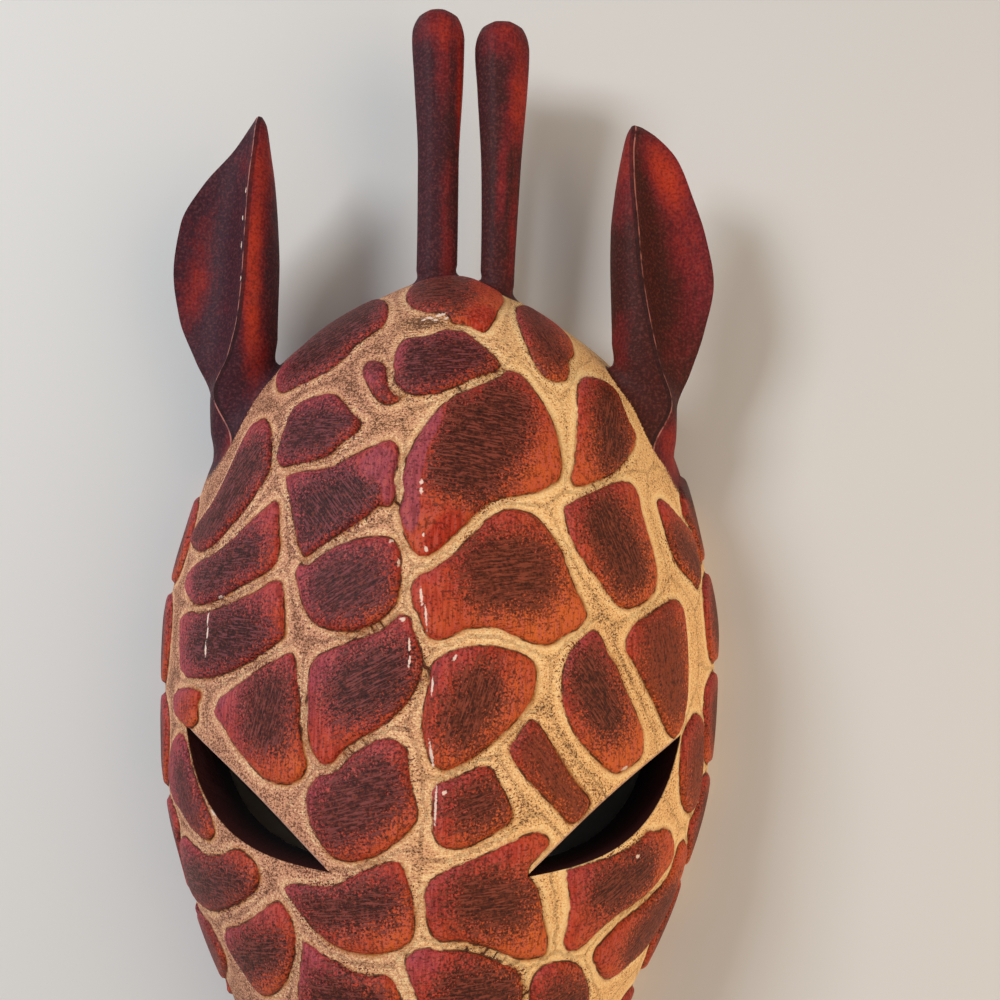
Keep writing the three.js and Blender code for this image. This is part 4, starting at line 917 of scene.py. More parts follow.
def nostril_body(side):
    """A small egg set half into the skin."""
    origin, across, upward, normal = skin_frame(side * NOSTRIL_OUT, NOSTRIL_ALONG)
    angle = math.radians(side * NOSTRIL_TURN)
    lengthwise = across * math.cos(angle) + upward * math.sin(angle)
    widthwise = np.cross(normal, lengthwise)
    long, wide, deep = NOSTRIL_SIZES
    rings = []
    turns = 2 * np.pi * np.arange(NOSTRIL_STEPS) / NOSTRIL_STEPS
    for lift in np.linspace(-NOSTRIL_CLOSE, NOSTRIL_CLOSE, NOSTRIL_RINGS):
        size = math.sqrt(1 - lift * lift)
        rings.append(
            origin + normal * deep * lift
            + np.outer(np.cos(turns), lengthwise) * long * size
            + np.outer(np.sin(turns), widthwise) * wide * size)
    return ring_mesh(rings)


def mouth_slab():
    """A level slab in front of the mouth's back. The snout less its skin is cut out of it, and
    what is left cuts the mouth's line."""
    far = MOUTH_SLAB
    rings = [
        np.array([
            [-far, MOUTH_BACK - far, level], [far, MOUTH_BACK - far, level],
            [far, MOUTH_BACK, level], [-far, MOUTH_BACK, level]])
        for level in (MOUTH_HEIGHT - MOUTH_THICK / 2, MOUTH_HEIGHT + MOUTH_THICK / 2)]
    return ring_mesh(rings)


# Objects

def object_from(name, vertices, faces):
    """An object from vertices in millimetres and faces."""
    mesh = bpy.data.meshes.new(name)
    mesh.from_pydata((np.asarray(vertices) * MM).tolist(), [], [tuple(map(int, f)) for f in faces])
    made = bpy.data.objects.new(name, mesh)
    bpy.context.scene.collection.objects.link(made)
    return made


def apply_modifiers(target):
    """Keeps the mesh that the modifiers give, and drops them."""
    graph = bpy.context.evaluated_depsgraph_get()
    mesh = bpy.data.meshes.new_from_object(target.evaluated_get(graph))
    target.modifiers.clear()
    old = target.data
    target.data = mesh
    bpy.data.meshes.remove(old)


def delete_object(target):
    mesh = target.data
    bpy.data.objects.remove(target)
    bpy.data.meshes.remove(mesh)


def vertex_array(mesh):
    """The vertices in millimetres."""
    flat = np.empty(len(mesh.vertices) * 3, np.float32)
    mesh.vertices.foreach_get("co", flat)
    return flat.reshape(-1, 3).astype(float) / MM


def place_points(mesh, points):
    mesh.vertices.foreach_set("co", (points * MM).astype(np.float32).ravel())
    mesh.update()


def even_grid(body, grid):
    """Vertices and quads of a body's skin on a fine even grid."""
    blank = object_from("blank", *body)
    remesh = blank.modifiers.new("remesh", "REMESH")
    remesh.mode = "VOXEL"
    remesh.voxel_size = grid
    apply_modifiers(blank)
    points = vertex_array(blank.data)
    corners = np.empty(len(blank.data.loops), np.int32)
    blank.data.loops.foreach_get("vertex_index", corners)
    delete_object(blank)
    return points, corners.reshape(-1, 4)


def edge_array(mesh):
    flat = np.empty(len(mesh.edges) * 2, np.int32)
    mesh.edges.foreach_get("vertices", flat)
    return flat.reshape(-1, 2)


def neighbour_mean(points, edges, counts):
    total = np.zeros_like(points)
    for axis in range(3):
        total[:, axis] = (
            np.bincount(edges[:, 0], points[edges[:, 1], axis], len(points))
            + np.bincount(edges[:, 1], points[edges[:, 0], axis], len(points)))
    return total / counts[:, None]


def smooth_points(points, edges, weights, passes):
    """Points drawn towards the mean of their neighbours, each by its own weight."""
    counts = np.bincount(edges.ravel(), minlength=len(points)).astype(float)
    for _ in range(passes):
        points += weights[:, None] * (neighbour_mean(points, edges, counts) - points)
    return points


def distances_to(body, points):
    """How far points lie from the skin of a ring body, capped."""
    tree = BVHTree.FromPolygons(body[0].tolist(), body[1])
    found = np.full(len(points), FAR_AWAY)
    for i, point in enumerate(points):
        hit = tree.find_nearest(Vector(point), FAR_AWAY)
        if hit[3] is not None:
            found[i] = hit[3]
    return found


def nearest_distances(targets, points):
    """How far points lie from the nearest of the target points."""
    tree = KDTree(len(targets))
    for i, target in enumerate(targets):
        tree.insert(target, i)
    tree.balance()
    return np.array([tree.find(point)[2] for point in points])


def limb_distances(limbs, points):
    """How far points lie from the skin of the nearest ear or horn."""
    found = np.full(len(points), FAR_AWAY)
    near = np.flatnonzero((points[:, 1] > LIMBS_FROM) & (points[:, 2] > LIMBS_ABOVE))
    for limb in limbs:
        found[near] = np.minimum(found[near], distances_to(limb, points[near]))
    return found


def head_skin(sizes, coat):
    """The head's smooth skin, with mesh edges that run along the patches' outlines."""
    points, quads = even_grid(head_body(), sizes.grid)
    skin = points[:, 2] > ABOVE_RIM
    for _ in range(2):
        gap, normals = head_distance(points)
        points[skin] -= gap[skin, None] * normals[skin]
    groove = sizes.groove / MM
    inside, _, _ = coat_fields(coat, points, groove)
    close = np.flatnonzero(skin & (np.abs(inside) < SNAP_SHARE * sizes.grid / MM))
    points[close] = on_the_line(points[close], normals[close], inside[close], coat, groove)
    inside, number, _ = coat_fields(coat, points, groove)
    return points, aligned_triangles(quads, inside, number)


def softened_joints(points, edges, horns, ears):
    """The feet of horns and ears flow into the head, as a knife leaves them."""
    gap, _ = head_distance(points)
    on_head = (np.abs(gap) < ON_SKIN) & (points[:, 1] < CROWN)
    for limbs, fillet in ((horns, HORN_FILLET), (ears, EAR_FILLET)):
        seam = points[on_head & (limb_distances(limbs, points) < ON_SKIN)]
        weights = FILLET_PULL * ease(FILLET_FADE - nearest_distances(seam, points) / fillet)
        points = smooth_points(points, edges, weights, FILLET_PASSES)
    return points


def raised_coat(points, sizes, limbs, coat):
    """Lifts the skin into patches, and leaves the limbs and their feet smooth."""
    gap, normals = head_distance(points)
    inside, _, _ = coat_fields(coat, points, sizes.groove / MM)
    shoulder = np.clip(inside / (sizes.bevel / MM), 0, 1)
    rise = np.sqrt(1 - (1 - shoulder) ** 2)
    swell = 1 - np.exp(-np.maximum(inside, 0) / SWELL_REACH)
    height = sizes.relief / MM * rise + sizes.swell / MM * swell
    clear = ease((limb_distances(limbs, points) - LIMB_GAP) / LIMB_FADE)
    share = ease(1 - np.abs(gap) / COAT_DEPTH) * clear
    return points + normals * (height * share)[:, None]


def painted_ovals(rows, points):
    """Soft oval dabs seen from the front, laid together."""
    total = np.zeros(len(points))
    for across, along, long, wide, turn, amount in rows:
        angle = math.radians(turn)
        x, y = points[:, 0] - across, points[:, 1] - along
        u = (x * math.cos(angle) + y * math.sin(angle)) / long
        v = (y * math.cos(angle) - x * math.sin(angle)) / wide
        total += amount * np.exp(-(u * u + v * v) ** 1.5)
    return total


def upper_lids(points):
    """1 along the upper edges of the eye slots, fading out within a millimetre or so."""
    found = np.zeros(len(points))
    for side, outer_corner, inner_corner in SLOTS:
        outer, lengthwise, upward, _, length = slot_frame(side, outer_corner, inner_corner)
        near = np.abs(head_distance(points)[0]) < LID_DEPTH
        own = np.flatnonzero((points[:, 0] * side > 0) & near)
        offset = points[own] - outer
        t = np.clip(offset @ lengthwise / length, 0, 1)
        away = np.abs(offset @ upward - slot_lids(t)[1])
        between = (t > LID_ENDS) & (t < 1 - LID_ENDS)
        found[own] = np.where(between, np.clip(1 - away / LID_WIDE, 0, 1), 0)
    return found


def paint_fields(points, limbs, coat, groove):
    """The fields at each point that the paint is laid by."""
    gap, normals = head_distance(points)
    depth = -gap
    skin = points.copy()
    for _ in range(2):
        skin -= gap[:, None] * normals
        gap, normals = head_distance(skin)
    inside, number, places = coat_fields(coat, skin, groove)
    soot = np.full(len(points), FAR_OUTSIDE)
    stroke = np.zeros((len(points), 3))
    lee = np.zeros(len(points))
    for i, patch in enumerate(coat):
        own = np.flatnonzero(number == i)
        soot[own], along, across, lee[own] = patch.paint(places[own], inside[own])
        stroke[own] = np.stack([along, across, np.full(len(own), STROKES_APART * i)], axis=1)
    limb_share = 1 - ease((limb_distances(limbs, points) - LIMB_PAINT_END) / LIMB_PAINT_FADE)
    spill = np.clip(SPILL_STRENGTH * painted_ovals(SPILLS, points), 0, 1)
    return {
        "inside": inside,
        "soot": np.maximum(soot, FAR_OUTSIDE),
        "stroke": stroke,
        "lee": lee,
        "warmth": np.array([patch.warmth for patch in coat])[number],
        "veil": np.array([patch.veil for patch in coat])[number],
        "limb": np.maximum(limb_share, spill),
        "dish": painted_ovals(DISH_BLUSHES, points),
        "strip": painted_ovals(STRIP_BLUSHES, points),
        "horn": painted_ovals(HORN_BLUSHES, points),
        "ridge": beyond_ridge(points),
        "pink": painted_ovals(PINK_DABS, points),
        "bright": painted_ovals(BRIGHT_DABS, points),
        "grime": painted_ovals(GRIME, points),
        "lid": upper_lids(points),
        "depth": depth,
    }


def on_the_line(points, normals, inside, coat, groove):
    """Points moved along the skin onto the outline of their patch."""
    step = 0.1
    side = np.cross(normals, [0.0, 1.0, 0.0])
    side /= np.linalg.norm(side, axis=1)[:, None]
    other = np.cross(normals, side)
    slope = np.zeros_like(points)
    for way in (side, other):
        ahead = coat_fields(coat, points + step * way, groove)[0]
        slope += ((ahead - inside) / step)[:, None] * way
    steep = np.maximum(np.sum(slope * slope, axis=1), LEAST_STEEPNESS)
    return points - slope * (inside / steep)[:, None]


def aligned_triangles(quads, field, number):
    """Each quad is cut along the diagonal that runs with the field's level lines and doesn't
    bridge the groove between two patches."""
    values, owner = field[quads], number[quads]
    first = np.abs(values[:, 0] - values[:, 2]) + BRIDGE * (owner[:, 0] != owner[:, 2])
    second = np.abs(values[:, 1] - values[:, 3]) + BRIDGE * (owner[:, 1] != owner[:, 3])
    first = first <= second
    one = np.concatenate([quads[first][:, [0, 1, 2]], quads[first][:, [0, 2, 3]]])
    two = np.concatenate([quads[~first][:, [0, 1, 3]], quads[~first][:, [1, 2, 3]]])
    return np.concatenate([one, two])


def write_field(mesh, name, values):
    """Stores numbers or vectors at the mesh's points, for the paint to read."""
    values = np.asarray(values, np.float32)
    if values.ndim == 1:
        field = mesh.attributes.new(name, "FLOAT", "POINT")
        field.data.foreach_set("value", values)
    else:
        field = mesh.attributes.new(name, "FLOAT_VECTOR", "POINT")
        field.data.foreach_set("vector", values.ravel())


def triangle_object(name, points, triangles):
    """An object from arrays of points in millimetres and triangles."""
    mesh = bpy.data.meshes.new(name)
    mesh.vertices.add(len(points))
    mesh.vertices.foreach_set("co", (points * MM).astype(np.float32).ravel())
    mesh.loops.add(len(triangles) * 3)
    mesh.loops.foreach_set("vertex_index", triangles.astype(np.int32).ravel())
    mesh.polygons.add(len(triangles))
    mesh.polygons.foreach_set("loop_start", np.arange(0, len(triangles) * 3, 3, dtype=np.int32))
    mesh.update(calc_edges=True)
    made = bpy.data.objects.new(name, mesh)
    bpy.context.scene.collection.objects.link(made)
    return made


def combine(target, cutter, operation="DIFFERENCE"):
    """Cuts an object out of the target, or joins it on, and drops it."""
    boolean = target.modifiers.new("combine", "BOOLEAN")
    boolean.operation = operation
    boolean.solver = "MANIFOLD"
    boolean.object = cutter
    before = len(target.data.vertices)
    apply_modifiers(target)
    if len(target.data.vertices) == before:
        raise RuntimeError(f"{cutter.name} changed nothing")
    delete_object(cutter)


def below_rim_body():
    """Everything below the rim, so that the mask lies flat."""
    x, y, low = BELOW_RIM_BOX
    rings = [
        np.array([[-x, -y, level], [x, -y, level], [x, y, level], [-x, y, level]])
        for level in (low, 0.0)]
    return ring_mesh(rings)


# Materials

# Sizes of the marks in the paint, in millimetres
GRAIN = 0.68
GRIT = 0.95
PEPPER = 0.5
BLOTCH = 9.0
WOBBLE = 2.6
STROKE_LONG, STROKE_WIDE = 4.6, 0.6
STREAK_LONG, STREAK_WIDE = 11.0, 0.8
SCRATCH_LONG, SCRATCH_WIDE = 3.0, 0.6
MOTTLE = 6.0
# The pepper lies a little more open than its size says, and the scratches run aslant, in degrees
PEPPER_OPEN = 0.83
SCRATCH_TURN = 35.0
# What a place far from every chip counts as, in half sizes of a chip
CHIP_FAR = 9.0

MATH, VECTOR, RANGE, MIX = "ShaderNodeMath", "ShaderNodeVectorMath", "ShaderNodeMapRange", "ShaderNodeMix"
NOISE, FIELD, MAPPING = "ShaderNodeTexNoise", "ShaderNodeAttribute", "ShaderNodeMapping"
MIX_A, MIX_B, MIX_COLOUR = 6, 7, 2
FIELD_VECTOR, FIELD_VALUE = 1, 2
OBJECT_PLACE = 3
VECTOR_VALUE = 1
FIELDS = (
    "inside", "soot", "lee", "warmth", "veil", "limb", "dish", "strip", "horn", "ridge",
    "pink", "bright", "grime", "lid", "depth")


def add_node(tree, kind, inputs=None, output=0, **fields):
    """Adds a node with its settings and links, and gives back one of its outputs."""
    node = tree.nodes.new(kind)
    for name, value in fields.items():
        setattr(node, name, value)
    for name, value in (inputs or {}).items():
        if isinstance(value, bpy.types.NodeSocket):
            tree.links.new(value, node.inputs[name])
        elif isinstance(value, str):
            node.inputs[name].default_value = (*linear(value), 1)
        else:
            node.inputs[name].default_value = value
    return node.outputs[output]


def new_material(name):
    """An empty material and its main shader."""
    material = bpy.data.materials.new(name)
    material.use_nodes = True
    return material, material.node_tree, material.node_tree.nodes["Principled BSDF"]


def opaque(colour):
    return (*colour, 1)


def plain_material(name, colour, roughness):
    material, _, shader = new_material(name)
    shader.inputs["Base Color"].default_value = opaque(colour)
    shader.inputs["Roughness"].default_value = roughness
    return material


def lay_paints(add, colour, layers):
    """Lays paints over a colour, one after another, each through its own mask."""
    for mask, paint in layers:
        colour = add(MIX, {0: mask, MIX_A: colour, MIX_B: paint}, MIX_COLOUR, data_type="RGBA")
    return colour


def add_up(add, total, shares):
    """Adds marks onto a value, one after another, each with its own share."""
    for mark, share in shares:
        total = add(MATH, {0: mark, 1: share, 2: total}, operation="MULTIPLY_ADD")
    return total


def narrowed(add, mask, *others):
    """A mask that is left only as far as all the others let it through."""
    for other in others:
        mask = add(MATH, {0: mask, 1: other}, operation="MULTIPLY")
    return mask


def brush_and_grit(add, place):
    """The noises of brush, grit and knife that the paints are laid with."""
    stroke_place = add(FIELD, output=FIELD_VECTOR, attribute_name="stroke")
    stroke_place = add(VECTOR, {
        0: stroke_place, 1: (1 / STROKE_LONG, 1 / STROKE_WIDE, 1.0)}, operation="MULTIPLY")
    streak_place = add(VECTOR, {
        0: place, 1: (1 / STREAK_WIDE, 1 / STREAK_LONG, 1 / STREAK_WIDE)}, operation="MULTIPLY")
    scratch_place = add(MAPPING, {
        "Vector": place, "Rotation": (0, 0, math.radians(SCRATCH_TURN)),
        "Scale": (1 / SCRATCH_LONG, 1 / SCRATCH_WIDE, 1 / SCRATCH_WIDE)})
    settings = {
        "grain": {"Vector": place, "Scale": 1 / GRAIN, "Detail": 1.5, "Roughness": 0.6},
        "grit": {"Vector": place, "Scale": 1 / GRIT, "Detail": 1.0},
        "pepper": {"Vector": place, "Scale": PEPPER_OPEN / PEPPER, "Detail": 2.0, "Roughness": 0.65},
        "blotch": {"Vector": place, "Scale": 1 / BLOTCH, "Detail": 2.0},
        "wobble": {"Vector": place, "Scale": 1 / WOBBLE, "Detail": 1.0},
        "mottle": {"Vector": place, "Scale": 1 / MOTTLE, "Detail": 3.0, "Roughness": 0.6},
        "stroke": {
            "Vector": stroke_place, "Scale": 1.0, "Detail": 2.0, "Roughness": 0.55, "Distortion": 0.5},
        "streak": {"Vector": streak_place, "Scale": 1.0, "Detail": 2.0},
        "scratch": {
            "Vector": scratch_place, "Scale": 1.0, "Detail": 2.0, "Roughness": 0.6, "Distortion": 1.2},
    }
    return {name: add(NOISE, inputs) for name, inputs in settings.items()}


def chip_mask(add, place):
    """1 on the spots of bare wood."""
    nearest = CHIP_FAR
    for across, along, long, wide, turn in CHIPS:
        local = add(MAPPING, {
            "Vector": place, "Location": (across, along, 0),
            "Rotation": (0, 0, math.radians(turn)), "Scale": (long, wide, 1000)}, vector_type="TEXTURE")
        length = add(VECTOR, {0: local}, VECTOR_VALUE, operation="LENGTH")
        nearest = add(MATH, {0: nearest, 1: length}, operation="MINIMUM")
    ragged = add(NOISE, {"Vector": place, "Scale": 1 / GRAIN, "Detail": 1.0})
    ragged = add_up(add, nearest, [(ragged, 1.6)])
    return add(RANGE, {0: ragged, 1: 1.55, 2: 2.0, 3: 1.0, 4: 0.0})


def ground_paint(add, marks, side, edge, colours):
    """Cream of the grooves in two lit copies: painted shade on the left, pinker and dirtier, and the warm
    lamp's painted light on the right, warmer, brighter and cleaner. Grit is caught in it, and a stain runs
    along the patches' feet, laid heavier on their lower right sides as painted shade."""
    # Painted light: the side mask turns the shaded copy of the cream on the left into the warm-lit copy on
    # the right
    ground = lay_paints(add, opaque(colours.ground_shaded_left), [(side, opaque(colours.ground_lit_right))])
    open_ground = add(RANGE, {
        0: marks.inside, 1: -1.0, 2: -4.0, 3: 0.0, 4: 0.15}, interpolation_type="SMOOTHSTEP")
    dirt = add_up(add, marks.pepper, [
        (marks.scratch, 0.6), (side, -0.12), (marks.blotch, 0.2), (open_ground, 1.0),
        (marks.grime, 0.13)])
    lee = add(MATH, {0: marks.lee, 1: 0.9, 2: 0.45}, operation="MULTIPLY_ADD", use_clamp=True)
    # Stain along the patches' feet, laid heavier on their lower right sides away from the cool key light:
    # stain and painted shade
    foot_stain_and_shade = narrowed(
        add,
        add(RANGE, {0: edge, 1: -1.8, 2: 0.0}, interpolation_type="SMOOTHSTEP"),
        add(RANGE, {0: lee, 1: 0.0, 2: 1.0, 3: 0.45, 4: 1.0}),
        add(RANGE, {0: marks.blotch, 1: 0.35, 2: 0.6, 3: 0.3, 4: 1.0}))
    return lay_paints(add, ground, [
        (add(RANGE, {0: dirt, 1: 0.9, 2: 0.76, 4: 0.7}), "#ffe2a8"),
        (add(RANGE, {0: dirt, 1: 0.8, 2: 1.12, 4: 0.45}), "#a86c4c"),
        (add(RANGE, {0: dirt, 1: 1.02, 2: 1.13, 4: 0.82}), "#4a2a18"),
        (foot_stain_and_shade, "#a4601f"),
    ])


def red_paint(add, marks, colours):
    """Reds of the patches, towards orange on their right and towards crimson on their left: partly the
    paint's own tint, and partly painted light, the warm lamp on the right and the cool light on the left.
    """
    # Painted light in part: each patch turns orange towards its right, as if lit by the warm lamp
    heat = add_up(add, marks.warmth, [(marks.lee, 0.8), (marks.mottle, 0.8)])
    return lay_paints(add, opaque(colours.crimson), [
        (add(RANGE, {0: heat, 1: 0.3, 2: 0.85}), opaque(colours.red)),
        (add(RANGE, {0: heat, 1: 0.85, 2: 1.6}), opaque(colours.orange)),
        (add(RANGE, {0: marks.bright, 1: 0.3, 2: 0.9, 4: 0.85}), "#a8240f"),
        (add(RANGE, {0: marks.pink, 1: 0.45, 2: 0.8, 4: 0.85}), "#9c4450"),
    ])


def coat_paint(add, marks, ground, edge, red_mask, colours):
    """The reds over the ground, and on them the dark tops, dry-brushed over a thinner wash, so
    that single bristles and red grit show through."""
    reach = add_up(add, marks.soot, [
        (marks.grain, 30.0), (marks.blotch, 5.0), (marks.stroke, 20.0), (marks.pink, -8.0),
        (marks.bright, -3.0)])
    wash = add(RANGE, {0: reach, 1: 23.2, 2: 28.4, 4: 0.62}, interpolation_type="SMOOTHSTEP")
    wash = narrowed(add, wash, red_mask)
    soot = narrowed(add, add(RANGE, {0: reach, 1: 27.4, 2: 29.2, 4: 0.92}), marks.veil)
    # A dark paint line in the corner at each patch's foot, partly a painted contact shadow
    foot = narrowed(
        add,
        add(MATH, {0: edge, 1: -0.12, 2: 0.26}, operation="COMPARE"),
        add(RANGE, {0: marks.mottle, 1: 0.42, 2: 0.56, 3: 0.15, 4: 0.85}))
    # These colours follow the patch warmth, partly painted light: the right patches' dark is painted lighter
    # where the warm lamp falls
    wash_colour = lay_paints(add, "#60282e", [(marks.warmth, "#84381e")])
    soot_colour = lay_paints(
        add, opaque(colours.dark_cool_lit_left), [(marks.warmth, opaque(colours.dark_warm_lit_right))])
    hair_colour = lay_paints(add, "#84444a", [(marks.warmth, "#984826")])
    light_streak = add(RANGE, {0: marks.streak, 1: 0.51, 2: 0.62, 4: 0.5})
    dark_streak = add(RANGE, {0: marks.streak, 1: 0.48, 2: 0.37, 4: 0.5})
    bright_grit = add(RANGE, {0: marks.grit, 1: 0.54, 2: 0.64, 4: 0.5})
    dark_grit = add(RANGE, {0: marks.grit, 1: 0.45, 2: 0.35, 4: 0.55})
    hair = add(RANGE, {0: marks.stroke, 1: 0.54, 2: 0.6, 4: 0.7})
    bristle = add(RANGE, {0: marks.stroke, 1: 0.46, 2: 0.39, 4: 0.85})
    return lay_paints(add, ground, [
        (red_mask, red_paint(add, marks, colours)),
        (narrowed(add, light_streak, red_mask), "#c05a4c"),
        (narrowed(add, dark_streak, red_mask), "#6a2418"),
        (wash, wash_colour),
        (soot, soot_colour),
        (narrowed(add, bright_grit, wash), "#a04a34"),
        (narrowed(add, dark_grit, red_mask), "#240e0b"),
        (narrowed(add, hair, soot), hair_colour),
        (narrowed(add, bristle, wash), "#180a08"),
        (foot, "#38180e"),
    ])


def limb_paint(add, marks, side):
    """Dark ears and horns with red rubbed through, heavier on the faces turned to the warm lamp as painted
    light in part. On an ear the red stops short at the ridge, where painted shade darkens the strip beside
    the crease and a pale painted highlight runs along the dish's lip."""
    outwards = add(RANGE, {0: marks.ridge, 1: -0.25, 2: 0.25})
    blush = add(MIX, {0: outwards, 2: marks.strip, 3: marks.dish})
    rubbed_red_and_warm_light = add_up(add, blush, [
        (marks.horn, 1.0), (marks.mottle, 1.0), (marks.streak, 0.8), (marks.grain, 0.5)])
    # Painted shade on the strip beside the ridge, and a painted highlight along the dish's lip
    crease_shade = narrowed(add, add(MATH, {0: marks.ridge, 1: -0.7, 2: 0.7}, operation="COMPARE"), 0.6)
    lip_highlight = narrowed(
        add,
        add(MATH, {0: marks.ridge, 1: 0.3, 2: 0.27}, operation="COMPARE"),
        add(RANGE, {0: marks.mottle, 1: 0.4, 2: 0.55, 4: 0.9}))
    # The dark base is purple on the left, partly painting the cool light's sheen, and brown on the right
    return lay_paints(add, lay_paints(add, "#3e1c26", [(side, "#421a14")]), [
        (add(RANGE, {0: rubbed_red_and_warm_light, 1: 1.25, 2: 2.1}), "#761e20"),
        (add(RANGE, {0: rubbed_red_and_warm_light, 1: 2.0, 2: 3.2}), "#b43418"),
        (add(RANGE, {0: marks.grit, 1: 0.47, 2: 0.36, 4: 0.4}), "#240f10"),
        (add(RANGE, {0: marks.grit, 1: 0.54, 2: 0.66, 4: 0.14}), "#a05a50"),
        (crease_shade, "#24100f"),
        (lip_highlight, "#b87468"),
    ])


def brush_bump(add, marks, limb_mask):
    """Brush and knife marks, in millimetres of height."""
    height = add(RANGE, {
        0: marks.inside, 1: -0.2, 2: 0.8, 4: 0.35}, interpolation_type="SMOOTHSTEP")
    height = add_up(add, height, [(marks.stroke, 0.25)])
    on_coat = add(MATH, {0: 1.0, 1: limb_mask}, operation="SUBTRACT")
    height = add_up(add, narrowed(add, height, on_coat), [
        (marks.scratch, 0.15), (marks.grain, 0.12), (marks.mottle, 0.4)])
    return add("ShaderNodeBump", {"Strength": 1.0, "Distance": MM, "Height": height})


def painted_wood(colours):
    """Light carved wood under brushed paint: cream in the grooves, red on the patches, and
    brown-black dry-brushed over their tops, all under a thin satin wax. The wax leaves the reds
    glossier than the ground, and the hollow dull."""
    material, tree, shader = new_material("painted_wood")
    add = partial(add_node, tree)
    local = add("ShaderNodeTexCoord", output=OBJECT_PLACE)
    place = add(VECTOR, {0: local, "Scale": 1 / MM}, operation="SCALE")
    across = add("ShaderNodeSeparateXYZ", {0: place})
    fields = {name: add(FIELD, output=FIELD_VALUE, attribute_name=name) for name in FIELDS}
    marks = SimpleNamespace(**fields, **brush_and_grit(add, place))

    # Where the side lit by the warm lamp (painted light), the patches' painted edges, the limbs and the cut
    # wood begin
    side = add(RANGE, {
        0: add_up(add, across, [(marks.blotch, 30.0)]), 1: -20.0, 2: 60.0},
        interpolation_type="SMOOTHSTEP")
    edge = add_up(add, marks.inside, [(marks.wobble, 0.8)])
    edge = add(MATH, {0: edge, 1: 0.4}, operation="SUBTRACT")
    red_mask = add(RANGE, {0: edge, 1: -0.1, 2: 0.12})
    limb_mask = add(RANGE, {0: add_up(add, marks.limb, [(marks.grain, 0.8)]), 1: 0.8, 2: 1.0})
    cut = add(RANGE, {0: marks.depth, 1: 0.25, 2: 0.4})

    # The cut wood's dark stain goes near black with depth, as painted shade in the slots and the hollow
    deep = add(RANGE, {0: marks.depth, 1: 0.5, 2: 11.0})
    stained_and_shaded_wall = lay_paints(add, "#3c1613", [(deep, "#120909")])
    ground = ground_paint(add, marks, side, edge, colours)
    colour = lay_paints(add, coat_paint(add, marks, ground, edge, red_mask, colours), [
        (limb_mask, limb_paint(add, marks, side)),
        (chip_mask(add, place), "#ecd0bc"),
        (cut, stained_and_shaded_wall),
        (add(RANGE, {0: marks.lid, 1: 0.5, 2: 0.75, 4: 0.75}), "#b48a78"),
    ])
    gloss = add_up(add, 0.6, [
        (red_mask, -0.14), (limb_mask, -0.1), (cut, 0.2), (marks.grain, 0.15)])
    tree.links.new(colour, shader.inputs["Base Color"])
    tree.links.new(gloss, shader.inputs["Roughness"])
    shader.inputs["Specular IOR Level"].default_value = 0.16
    tree.links.new(brush_bump(add, marks, limb_mask), shader.inputs["Normal"])
    return material


# Edges that turn more than this are shaded as edges, in degrees
SHARP_ANGLE = 38.0


class MASK_OT_carve(bpy.types.Operator):
    """Carve the mask and paint it"""

    bl_idname = "giraffe_mask.carve"
    bl_label = "Carve the mask"

    def execute(self, context):
        sizes = context.scene.mask_sizes
        coat = all_patches()
        horns = [horn_body(LEFT_HORN), horn_body(RIGHT_HORN)]
        ears = [ear_body(*ear) for ear in EARS]
        limbs = horns + ears
        mask = triangle_object("carved_mask", *head_skin(sizes, coat))
        for limb in limbs:
            combine(mask, object_from("limb", *limb), "UNION")
        points = softened_joints(vertex_array(mask.data), edge_array(mask.data), horns, ears)
        place_points(mask.data, raised_coat(points, sizes, limbs, coat))
        combine(mask, object_from("hollow", *hollow_body(sizes.wall / MM)))
        for slot in SLOTS:
            combine(mask, object_from("slot", *slot_body(*slot)))
        for side in (-1, 1):
            combine(mask, object_from("nostril", *nostril_body(side)))
        mouth = object_from("mouth", *mouth_slab())
        combine(mouth, object_from("snout", *head_body(MOUTH_DEEP)))
        combine(mask, mouth)
        combine(mask, object_from("below_rim", *below_rim_body()))
        fields = paint_fields(vertex_array(mask.data), limbs, coat, sizes.groove / MM)
        for name, values in fields.items():
            write_field(mask.data, name, values)
        mask.data.shade_smooth()
        mask.data.set_sharp_from_angle(angle=math.radians(SHARP_ANGLE))
        mask.data.materials.clear()
        mask.data.materials.append(painted_wood(context.scene.mask_colours))
        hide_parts("mask")
        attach(mask, "root")
        return {"FINISHED"}


# Camera: looks down on the mask, a little from the chin's side
CAMERA_PLACE = (20.2, -2.5, 418.0)
CAMERA_LEAN = 8.0
CAMERA_ROLL = 1.4
CAMERA_LENS = 39.6
CAMERA_SENSOR = 36.0

# Floor and lights in metres: half size of the floor and how far below the rim it lies, then each
# light's name, place, size, watts and colour, and what the lights point at
FLOOR_REACH, FLOOR_DROP = 3.0, 0.0003
FLOOR_ROUGHNESS = 0.9
LIGHTS = [
    ("cool_key", (-0.8, 0.35, 0.9), 0.4, 10.5, (0.9, 0.94, 1.0)),
    ("warm_fill", (0.85, -0.2, 0.7), 1.2, 8.4, (1.0, 0.74, 0.48)),
]
LIGHT_TARGET = (0, 0, 0.05)
WORLD_COLOUR, WORLD_STRENGTH = (0.93, 0.95, 1.0, 1), 0.32


def lay_floor(colour):
    """A plain pale floor just below the rim."""
    mesh = bpy.data.meshes.new("floor")
    corners = [
        (x * FLOOR_REACH, y * FLOOR_REACH, -FLOOR_DROP)
        for x, y in ((-1, -1), (1, -1), (1, 1), (-1, 1))]
    mesh.from_pydata(corners, [], [(0, 1, 2, 3)])
    mesh.materials.append(plain_material("floor_paper", colour, FLOOR_ROUGHNESS))
    floor = bpy.data.objects.new("floor", mesh)
    bpy.context.scene.collection.objects.link(floor)


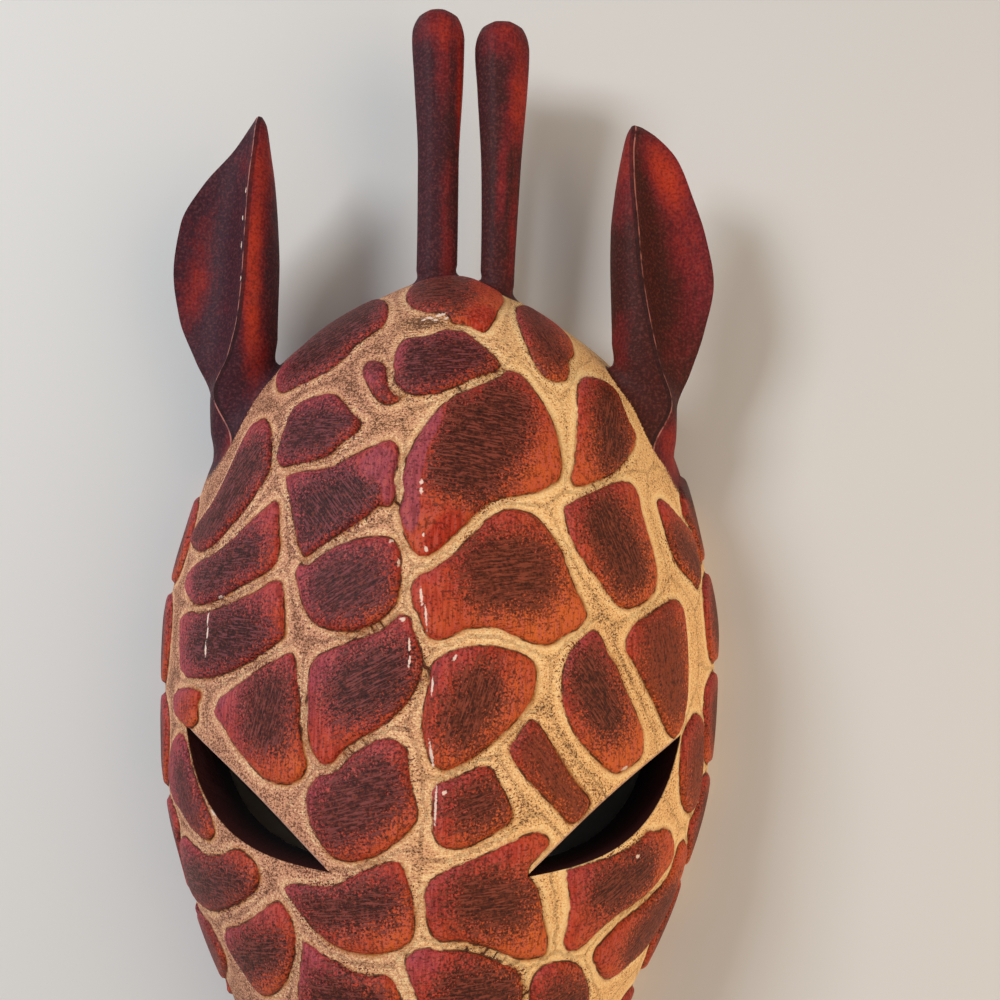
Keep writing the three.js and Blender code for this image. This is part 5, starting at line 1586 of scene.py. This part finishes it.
def place_camera():
    """The camera, leant back from looking straight down and rolled a little."""
    lean, roll = math.radians(CAMERA_LEAN), math.radians(CAMERA_ROLL)
    ahead = Vector((0, math.sin(lean), -math.cos(lean)))
    up = Vector((0, math.cos(lean), math.sin(lean)))
    right = Vector((1, 0, 0))
    x_axis = right * math.cos(roll) + up * math.sin(roll)
    y_axis = up * math.cos(roll) - right * math.sin(roll)
    lens = bpy.data.cameras.new("camera")
    lens.lens = CAMERA_LENS
    lens.sensor_width = CAMERA_SENSOR
    camera = bpy.data.objects.new("camera", lens)
    camera.matrix_world = Matrix.Translation(Vector(CAMERA_PLACE) * MM) @ Matrix((
        x_axis, y_axis, -ahead)).transposed().to_4x4()
    bpy.context.scene.collection.objects.link(camera)
    bpy.context.scene.camera = camera


def add_light(name, place, size, power, colour):
    """A square soft light that faces the mask."""
    light = bpy.data.lights.new(name, "AREA")
    light.size = size
    light.energy = power
    light.color = colour
    made = bpy.data.objects.new(name, light)
    made.location = place
    towards = Vector(LIGHT_TARGET) - Vector(place)
    made.rotation_euler = towards.to_track_quat("-Z", "Y").to_euler()
    bpy.context.scene.collection.objects.link(made)


def soft_world():
    """Even cool light from all round."""
    world = bpy.data.worlds.new("studio")
    world.use_nodes = True
    background = world.node_tree.nodes["Background"]
    background.inputs["Color"].default_value = WORLD_COLOUR
    background.inputs["Strength"].default_value = WORLD_STRENGTH
    return world


class MASK_OT_stage(bpy.types.Operator):
    """Set the floor, the lights and the camera"""

    bl_idname = "giraffe_mask.stage"
    bl_label = "Set the stage"

    def execute(self, context):
        lay_floor(context.scene.mask_colours.floor)
        place_camera()
        for light in LIGHTS:
            add_light(*light)
        context.scene.world = soft_world()
        context.scene.view_settings.view_transform = "Standard"
        return {"FINISHED"}


class MASK_PT_panel(bpy.types.Panel):
    """Sizes, paints and steps of the mask"""

    bl_idname = "MASK_PT_panel"
    bl_label = "Giraffe mask"
    bl_space_type = "VIEW_3D"
    bl_region_type = "UI"
    bl_category = "Mask"

    def draw(self, context):
        for group in (context.scene.mask_sizes, context.scene.mask_colours):
            for name in group.__annotations__:
                self.layout.prop(group, name)
        for operator in (MASK_OT_carve, MASK_OT_stage):
            self.layout.operator(operator.bl_idname)


CLASSES = (MaskSizes, MaskColours, MASK_OT_carve, MASK_OT_stage, MASK_PT_panel)


def register():
    for made in CLASSES:
        bpy.utils.register_class(made)
    bpy.types.Scene.mask_sizes = PointerProperty(type=MaskSizes)
    bpy.types.Scene.mask_colours = PointerProperty(type=MaskColours)


def unregister():
    del bpy.types.Scene.mask_colours
    del bpy.types.Scene.mask_sizes
    for made in reversed(CLASSES):
        bpy.utils.unregister_class(made)


def main():
    register()
    bpy.ops.giraffe_mask.carve()
    bpy.ops.giraffe_mask.stage()


if __name__ == "__main__":
    main()
